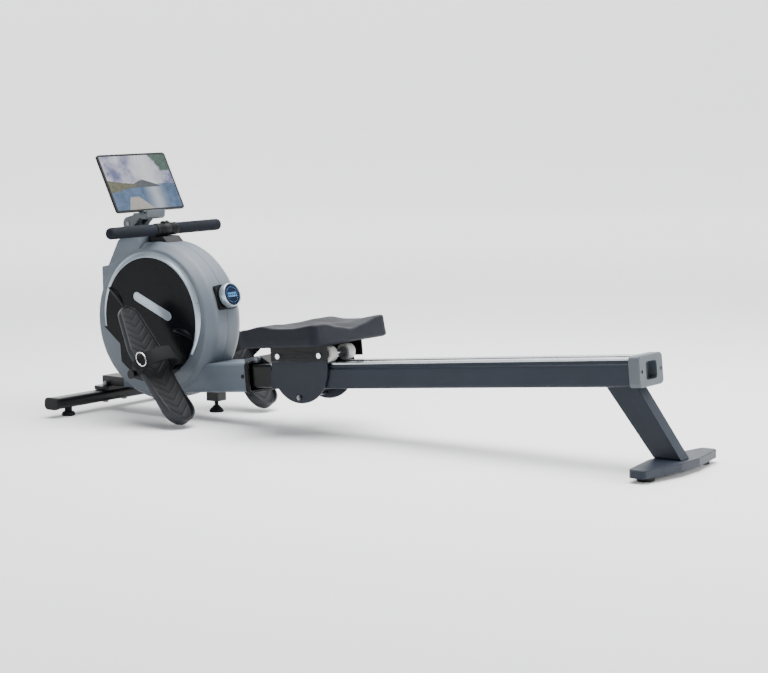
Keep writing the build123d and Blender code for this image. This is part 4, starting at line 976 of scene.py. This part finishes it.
def band(place, points, width, lift, thick, middle=0.0):
    """Webbing laid along an arch over the foot."""
    section = rounded_box(width, thick, thick * 0.45, 0, 0, 2)
    path = curve(points, 5)
    rings = []
    for i, p in enumerate(path):
        ahead, behind = path[min(i + 1, len(path) - 1)], path[max(i - 1, 0)]
        t = (ahead - behind).normalized()
        out = Vector((-t.y, t.x))
        ring = []
        for a, b in section:
            ring.append(place(middle + a, p.y + out.y * (lift + b), p.x + out.x * (lift + b)))
        rings.append(ring)
    return rings


def wire_loop(place, points, radius):
    """A closed ring of round wire through points (u, v, w)."""
    path = [place(*p) for p in points]
    rings = []
    for i, p in enumerate(path):
        t = (path[(i + 1) % len(path)] - path[i - 1]).normalized()
        a = t.cross(Vector((0.3, 0.9, 0.31))).normalized()
        b = t.cross(a)
        turns = [2 * pi * k / 12 for k in range(12)]
        rings.append([p + (a * cos(x) + b * sin(x)) * radius * MM for x in turns])
    return (rings, "wrap")


def buckle(hand):
    """Points of the metal ring at the strap's outer side."""
    points = []
    for degree in range(0, 360, 12):
        a = radians(degree)
        points.append((-8 + 21 * cos(a), 30 + 14 * sin(a), hand * (68 - 3 * sin(a))))
    return points


STUD = [(6.5, 62), (6.5, 67), (5, 69), (0, 69.4)]
for hand, word in HANDS:
    place = pedal(hand)
    body = f"footrest_{word}"
    sole = [sole_shell(place, hand), hub(place)]
    sole_node = (f"footplate_{word}",)
    piece(f"sole_{word}", sole, body, "footrest_shell", sole_node, sharp=38)
    pad = [tread(place, hand)]
    piece(f"tread_{word}", pad, body, "footrest", (f"foot_pad_{word}",), sharp=60)
    flap = [(-hand * x, y) for x, y in ARCH[:9]]
    if hand == RIGHT:
        flap = flap[::-1]
    straps = [band(place, ARCH, 46, 0, 2.6), band(place, flap, 40, FLAP_LIFT, 2.2, 1.5)]
    piece(f"strap_{word}", straps, body, "webbing", (f"foot_strap_{word}",), sharp=50)
    piece(f"buckle_{word}", [wire_loop(place, buckle(hand), 1.6)], body, "chrome", sharp=60)
    stud = lathe(STUD, strap_side(hand), 24)
    piece(f"strap_stud_{word}", [stud], body, "black_plastic", sharp=35)

# ---------------------------------------------------------------- feet and small parts
# profiles as (radius, height)
FOOT = [(13, 0), (18.4, 0), (19.8, 1.2), (20, 3), (19, 7), (17.4, 10.5), (14, 12), (11, 13), (11, 25.5)]
PAD = [(17, 0), (20.8, 0), (21.8, 1), (22, 2.5), (22, 11), (21, 12), (10, 12)]
LEVELLING = [(15, 20), (20, 20), (21, 21.2), (21, 23.5), (19.6, 26), (18, 30), (13, 34), (9.4, 37.4)]
LEVELLING += [(8.6, 39.5), (6, 40)]
THREAD_PITCH = 1.5
for i in range(24):
    LEVELLING += [(6, 41 + i * THREAD_PITCH), (5.5, 41.75 + i * THREAD_PITCH)]
LEVELLING.append((5.4, 79.4))
feet = [lathe(FOOT, upright(-969, y), 48) for y in (-195, 195)]
piece("front_feet", feet, "frame", "rubber", ("stabilizer_feet",), sharp=40)
pads = [lathe(PAD, upright(950, y), 48) for y in (-138, 138)]
piece("rear_pads", pads, "rail", "rubber", ("rear_foot_pads",), sharp=40)
screw = lathe(LEVELLING, upright(-558, 0), 48)
piece("levelling_screw", [screw], "levelling_foot", "rubber", ("levelling_foot",), sharp=40)

# black collar round the open end of the beam, and a plug in its side
collar_path = [rail(-384, v, u) for u, v in rounded_box(121, 85, 11, 0, 34, 8)]
collar_section = rounded_box(14, 7, 3, 0, 0, 3)
along = Vector((cos(TILT), 0, sin(TILT)))
collar = (sweep(collar_path, collar_section, along, closed=True), "wrap")
piece("beam_collar", [collar], "frame", "black_plastic", sharp=40)
PLUG = [(6, 59.6), (6, 60.6), (4.8, 61), (4.2, 60.2), (0, 60.2)]


def plug_place(u, v, w):
    """u and v in the beam's left face from the plug's middle, w outwards."""
    return rail(-401 + u, 37.5 + v, -w)


piece("beam_plug", [lathe(PLUG, plug_place, 32)], "frame", "black_plastic", sharp=30)

# ---------------------------------------------------------------- tablet screen
picture = Finish("tablet_picture")
spot = picture.node("ShaderNodeSeparateXYZ")
picture.link(picture.place, spot.inputs[0])
mixed = picture.mixed
above = picture.above


def plus(a, b):
    return picture.maths("ADD", a, b)


def minus(a, b):
    return picture.maths("SUBTRACT", a, b)


def times(a, b):
    return picture.maths("MULTIPLY", a, b)


def over(a, b):
    return picture.maths("DIVIDE", a, b)


def size_of(a):
    return picture.maths("ABSOLUTE", a)


# across and up run from 0 to 1 over the screen; width, foot and rise are in metres
SCREEN_WIDTH, PICTURE_FOOT, PICTURE_RISE = 0.274, 0.6034, 0.1545
across_it = plus(over(spot.outputs["Y"], SCREEN_WIDTH), 0.5)
up_it = over(minus(spot.outputs["Z"], PICTURE_FOOT), PICTURE_RISE)
wobble = times(minus(picture.noise(60, 5), 0.5), 0.16)
clouds = picture.ramp(picture.noise(26, 6), (0.13, 0.14, 0.34), (0.80, 0.80, 0.92), 0.38, 0.66)
glow = above(size_of(minus(across_it, 0.62)), 0.16, 0.16)
sky = mixed(glow, (0.92, 0.92, 0.97), clouds)
leaves = picture.ramp(picture.noise(140, 5), (0.006, 0.03, 0.02), (0.05, 0.16, 0.09))
water = picture.ramp(picture.noise(44, 5), (0.03, 0.09, 0.20), (0.11, 0.22, 0.42))
glare = minus(1.0, above(size_of(minus(across_it, 0.66)), 0.07, 0.12))
water = mixed(times(glare, 0.75), water, (0.85, 0.88, 0.93))
bank = picture.ramp(picture.noise(120, 4), (0.05, 0.07, 0.02), (0.20, 0.17, 0.06))
hill = picture.ramp(picture.noise(90, 4), (0.03, 0.045, 0.055), (0.08, 0.09, 0.10))
boards = picture.ramp(picture.noise(200, 2), (0.42, 0.38, 0.33), (0.62, 0.58, 0.52))

scene_colour = mixed(above(plus(up_it, times(wobble, 0.2)), 0.46, 0.01), water, sky)
hill_top = minus(0.56, times(size_of(minus(across_it, 0.52)), 0.55))
in_hill = above(minus(plus(hill_top, times(wobble, 0.2)), up_it), 0.0, 0.006)
over_water = above(up_it, 0.41, 0.008)
scene_colour = mixed(times(in_hill, over_water), scene_colour, hill)
bank_top = minus(0.56, times(across_it, 0.22))
in_bank = above(minus(plus(bank_top, times(wobble, 0.3)), up_it), 0.0, 0.008)
bank_foot = above(minus(up_it, times(across_it, 0.25)), 0.33, 0.01)
bank_side = minus(1.0, above(across_it, 0.42, 0.04))
scene_colour = mixed(times(times(in_bank, bank_foot), bank_side), scene_colour, bank)
tree_edge = plus(plus(across_it, wobble), times(up_it, 0.35))
scene_colour = mixed(times(above(tree_edge, 1.1, 0.02), above(up_it, 0.70, 0.02)), scene_colour, leaves)
jetty_half = minus(0.2, times(up_it, 0.55))
jetty_off = size_of(minus(across_it, minus(0.38, times(up_it, 0.25))))
in_jetty = above(minus(jetty_half, jetty_off), 0.0, 0.006)
scene_colour = mixed(times(in_jetty, above(minus(0.24, up_it), 0.0, 0.01)), scene_colour, boards)
picture.link(mixed(0.94, scene_colour, (0.004, 0.005, 0.007)), picture.shader.inputs["Base Color"])
picture.link(scene_colour, picture.shader.inputs["Emission Color"])
picture.shader.inputs["Emission Strength"].default_value = 0.62
picture.shader.inputs["Roughness"].default_value = 0.35
picture.shader.inputs["Coat Weight"].default_value = 0.15
picture.shader.inputs["Coat Roughness"].default_value = 0.06
FINISHES["tablet_picture"] = picture.made
glass_face = prism(rounded_box(274, 172, 3, 0, 92, 4), 2.95, 3.45, screen)
screen_node = ("tablet_screen",)
piece(
    "tablet_picture", [glass_face], "tablet", "tablet_picture", screen_node, bevel=0.2
)

# ---------------------------------------------------------------- floor, light and camera
# the camera looks down a little from behind the machine's left side; the backdrop faces it
YAW, DOWN, ROLL = radians(37.16), radians(6.90), radians(-0.62)
away = Vector((-sin(YAW), cos(YAW), 0))
beside = Vector((cos(YAW), sin(YAW), 0))
FLOOR_LEVEL = -0.0004
WALL_START, WALL_CURVE, WALL_TOP, HALF_WIDTH = 9, 3, 16, 26


def backdrop(name):
    """One sheet: a floor that curves up into a wall a long way behind the machine."""
    profile = [(-30, 0), (-2, 0), (2, 0), (WALL_START, 0)]
    for degree in range(8, 91, 8):
        a = radians(degree)
        profile.append((WALL_START + WALL_CURVE * sin(a), WALL_CURVE - WALL_CURVE * cos(a)))
    profile.append((WALL_START + WALL_CURVE, WALL_TOP))
    bm = bmesh.new()
    rows = []
    for w in (-HALF_WIDTH, HALF_WIDTH):
        points = [away * d + beside * w + Vector((0, 0, h + FLOOR_LEVEL)) for d, h in profile]
        rows.append([bm.verts.new(p) for p in points])
    for i in range(len(profile) - 1):
        bm.faces.new((rows[0][i], rows[1][i], rows[1][i + 1], rows[0][i + 1]))
    made = finished(bm, name)
    bpy.context.scene.collection.objects.link(made)
    for face in made.data.polygons:
        face.use_smooth = True
    return made


floor_finish = Finish("floor")
floor_finish.link(
    floor_finish.ramp(floor_finish.noise(0.6), (0.88, 0.88, 0.88), (0.90, 0.90, 0.90)),
    floor_finish.shader.inputs["Base Color"],
)
distance = floor_finish.node("ShaderNodeVectorMath", operation="LENGTH")
floor_finish.link(floor_finish.place, distance.inputs[0])
glow_far = floor_finish.node("ShaderNodeMapRange", interpolation_type="SMOOTHSTEP")
for key, value in {"From Min": 0.8, "From Max": 7.0, "To Min": 0.02, "To Max": 1.35}.items():
    glow_far.inputs[key].default_value = value
floor_finish.link(distance.outputs["Value"], glow_far.inputs["Value"])
floor_finish.link(glow_far.outputs["Result"], floor_finish.shader.inputs["Emission Strength"])
floor_finish.shader.inputs["Emission Color"].default_value = (1, 1, 1, 1)
floor_finish.shader.inputs["Roughness"].default_value = 0.9
floor_finish.shader.inputs["Specular IOR Level"].default_value = 0.1
floor = backdrop("floor")
floor.data.materials.append(floor_finish.made)

world = bpy.data.worlds.new("studio")
bpy.context.scene.world = world
world.use_nodes = True
sky_light = world.node_tree.nodes["Background"]
sky_light.inputs["Color"].default_value = (0.86, 0.93, 1, 1)
sky_light.inputs["Strength"].default_value = 0.22


def softbox(name, place, aim, size, power):
    """A square area light that faces a point."""
    data = bpy.data.lights.new(name, "AREA")
    data.size = size
    data.energy = power
    light = bpy.data.objects.new(name, data)
    light.location = place
    light.rotation_euler = (Vector(aim) - Vector(place)).to_track_quat("-Z", "Y").to_euler()
    bpy.context.scene.collection.objects.link(light)


softbox("overhead", (0.2, 0.5, 3.4), (0, 0, 0.2), 3.4, 400)
softbox("near_left", (-2.4, -4.2, 2.2), (-0.4, 0, 0.3), 1.6, 38)
softbox("rear_right", (4.2, 0.9, 1.3), (0.2, 0, 0.3), 1.4, 120)

forward = Vector((-sin(YAW) * cos(DOWN), cos(YAW) * cos(DOWN), -sin(DOWN)))
upward = beside.cross(forward)
right = beside * cos(ROLL) + upward * sin(ROLL)
top = upward * cos(ROLL) - beside * sin(ROLL)
camera_data = bpy.data.cameras.new("camera")
camera_data.lens = 96.86
camera_data.sensor_width = 36
camera = bpy.data.objects.new("camera", camera_data)
turned = Matrix((right, top, -forward)).transposed().to_4x4()
camera.matrix_world = Matrix.Translation((3.421, -4.440, 0.954)) @ turned
bpy.context.scene.collection.objects.link(camera)
bpy.context.scene.camera = camera
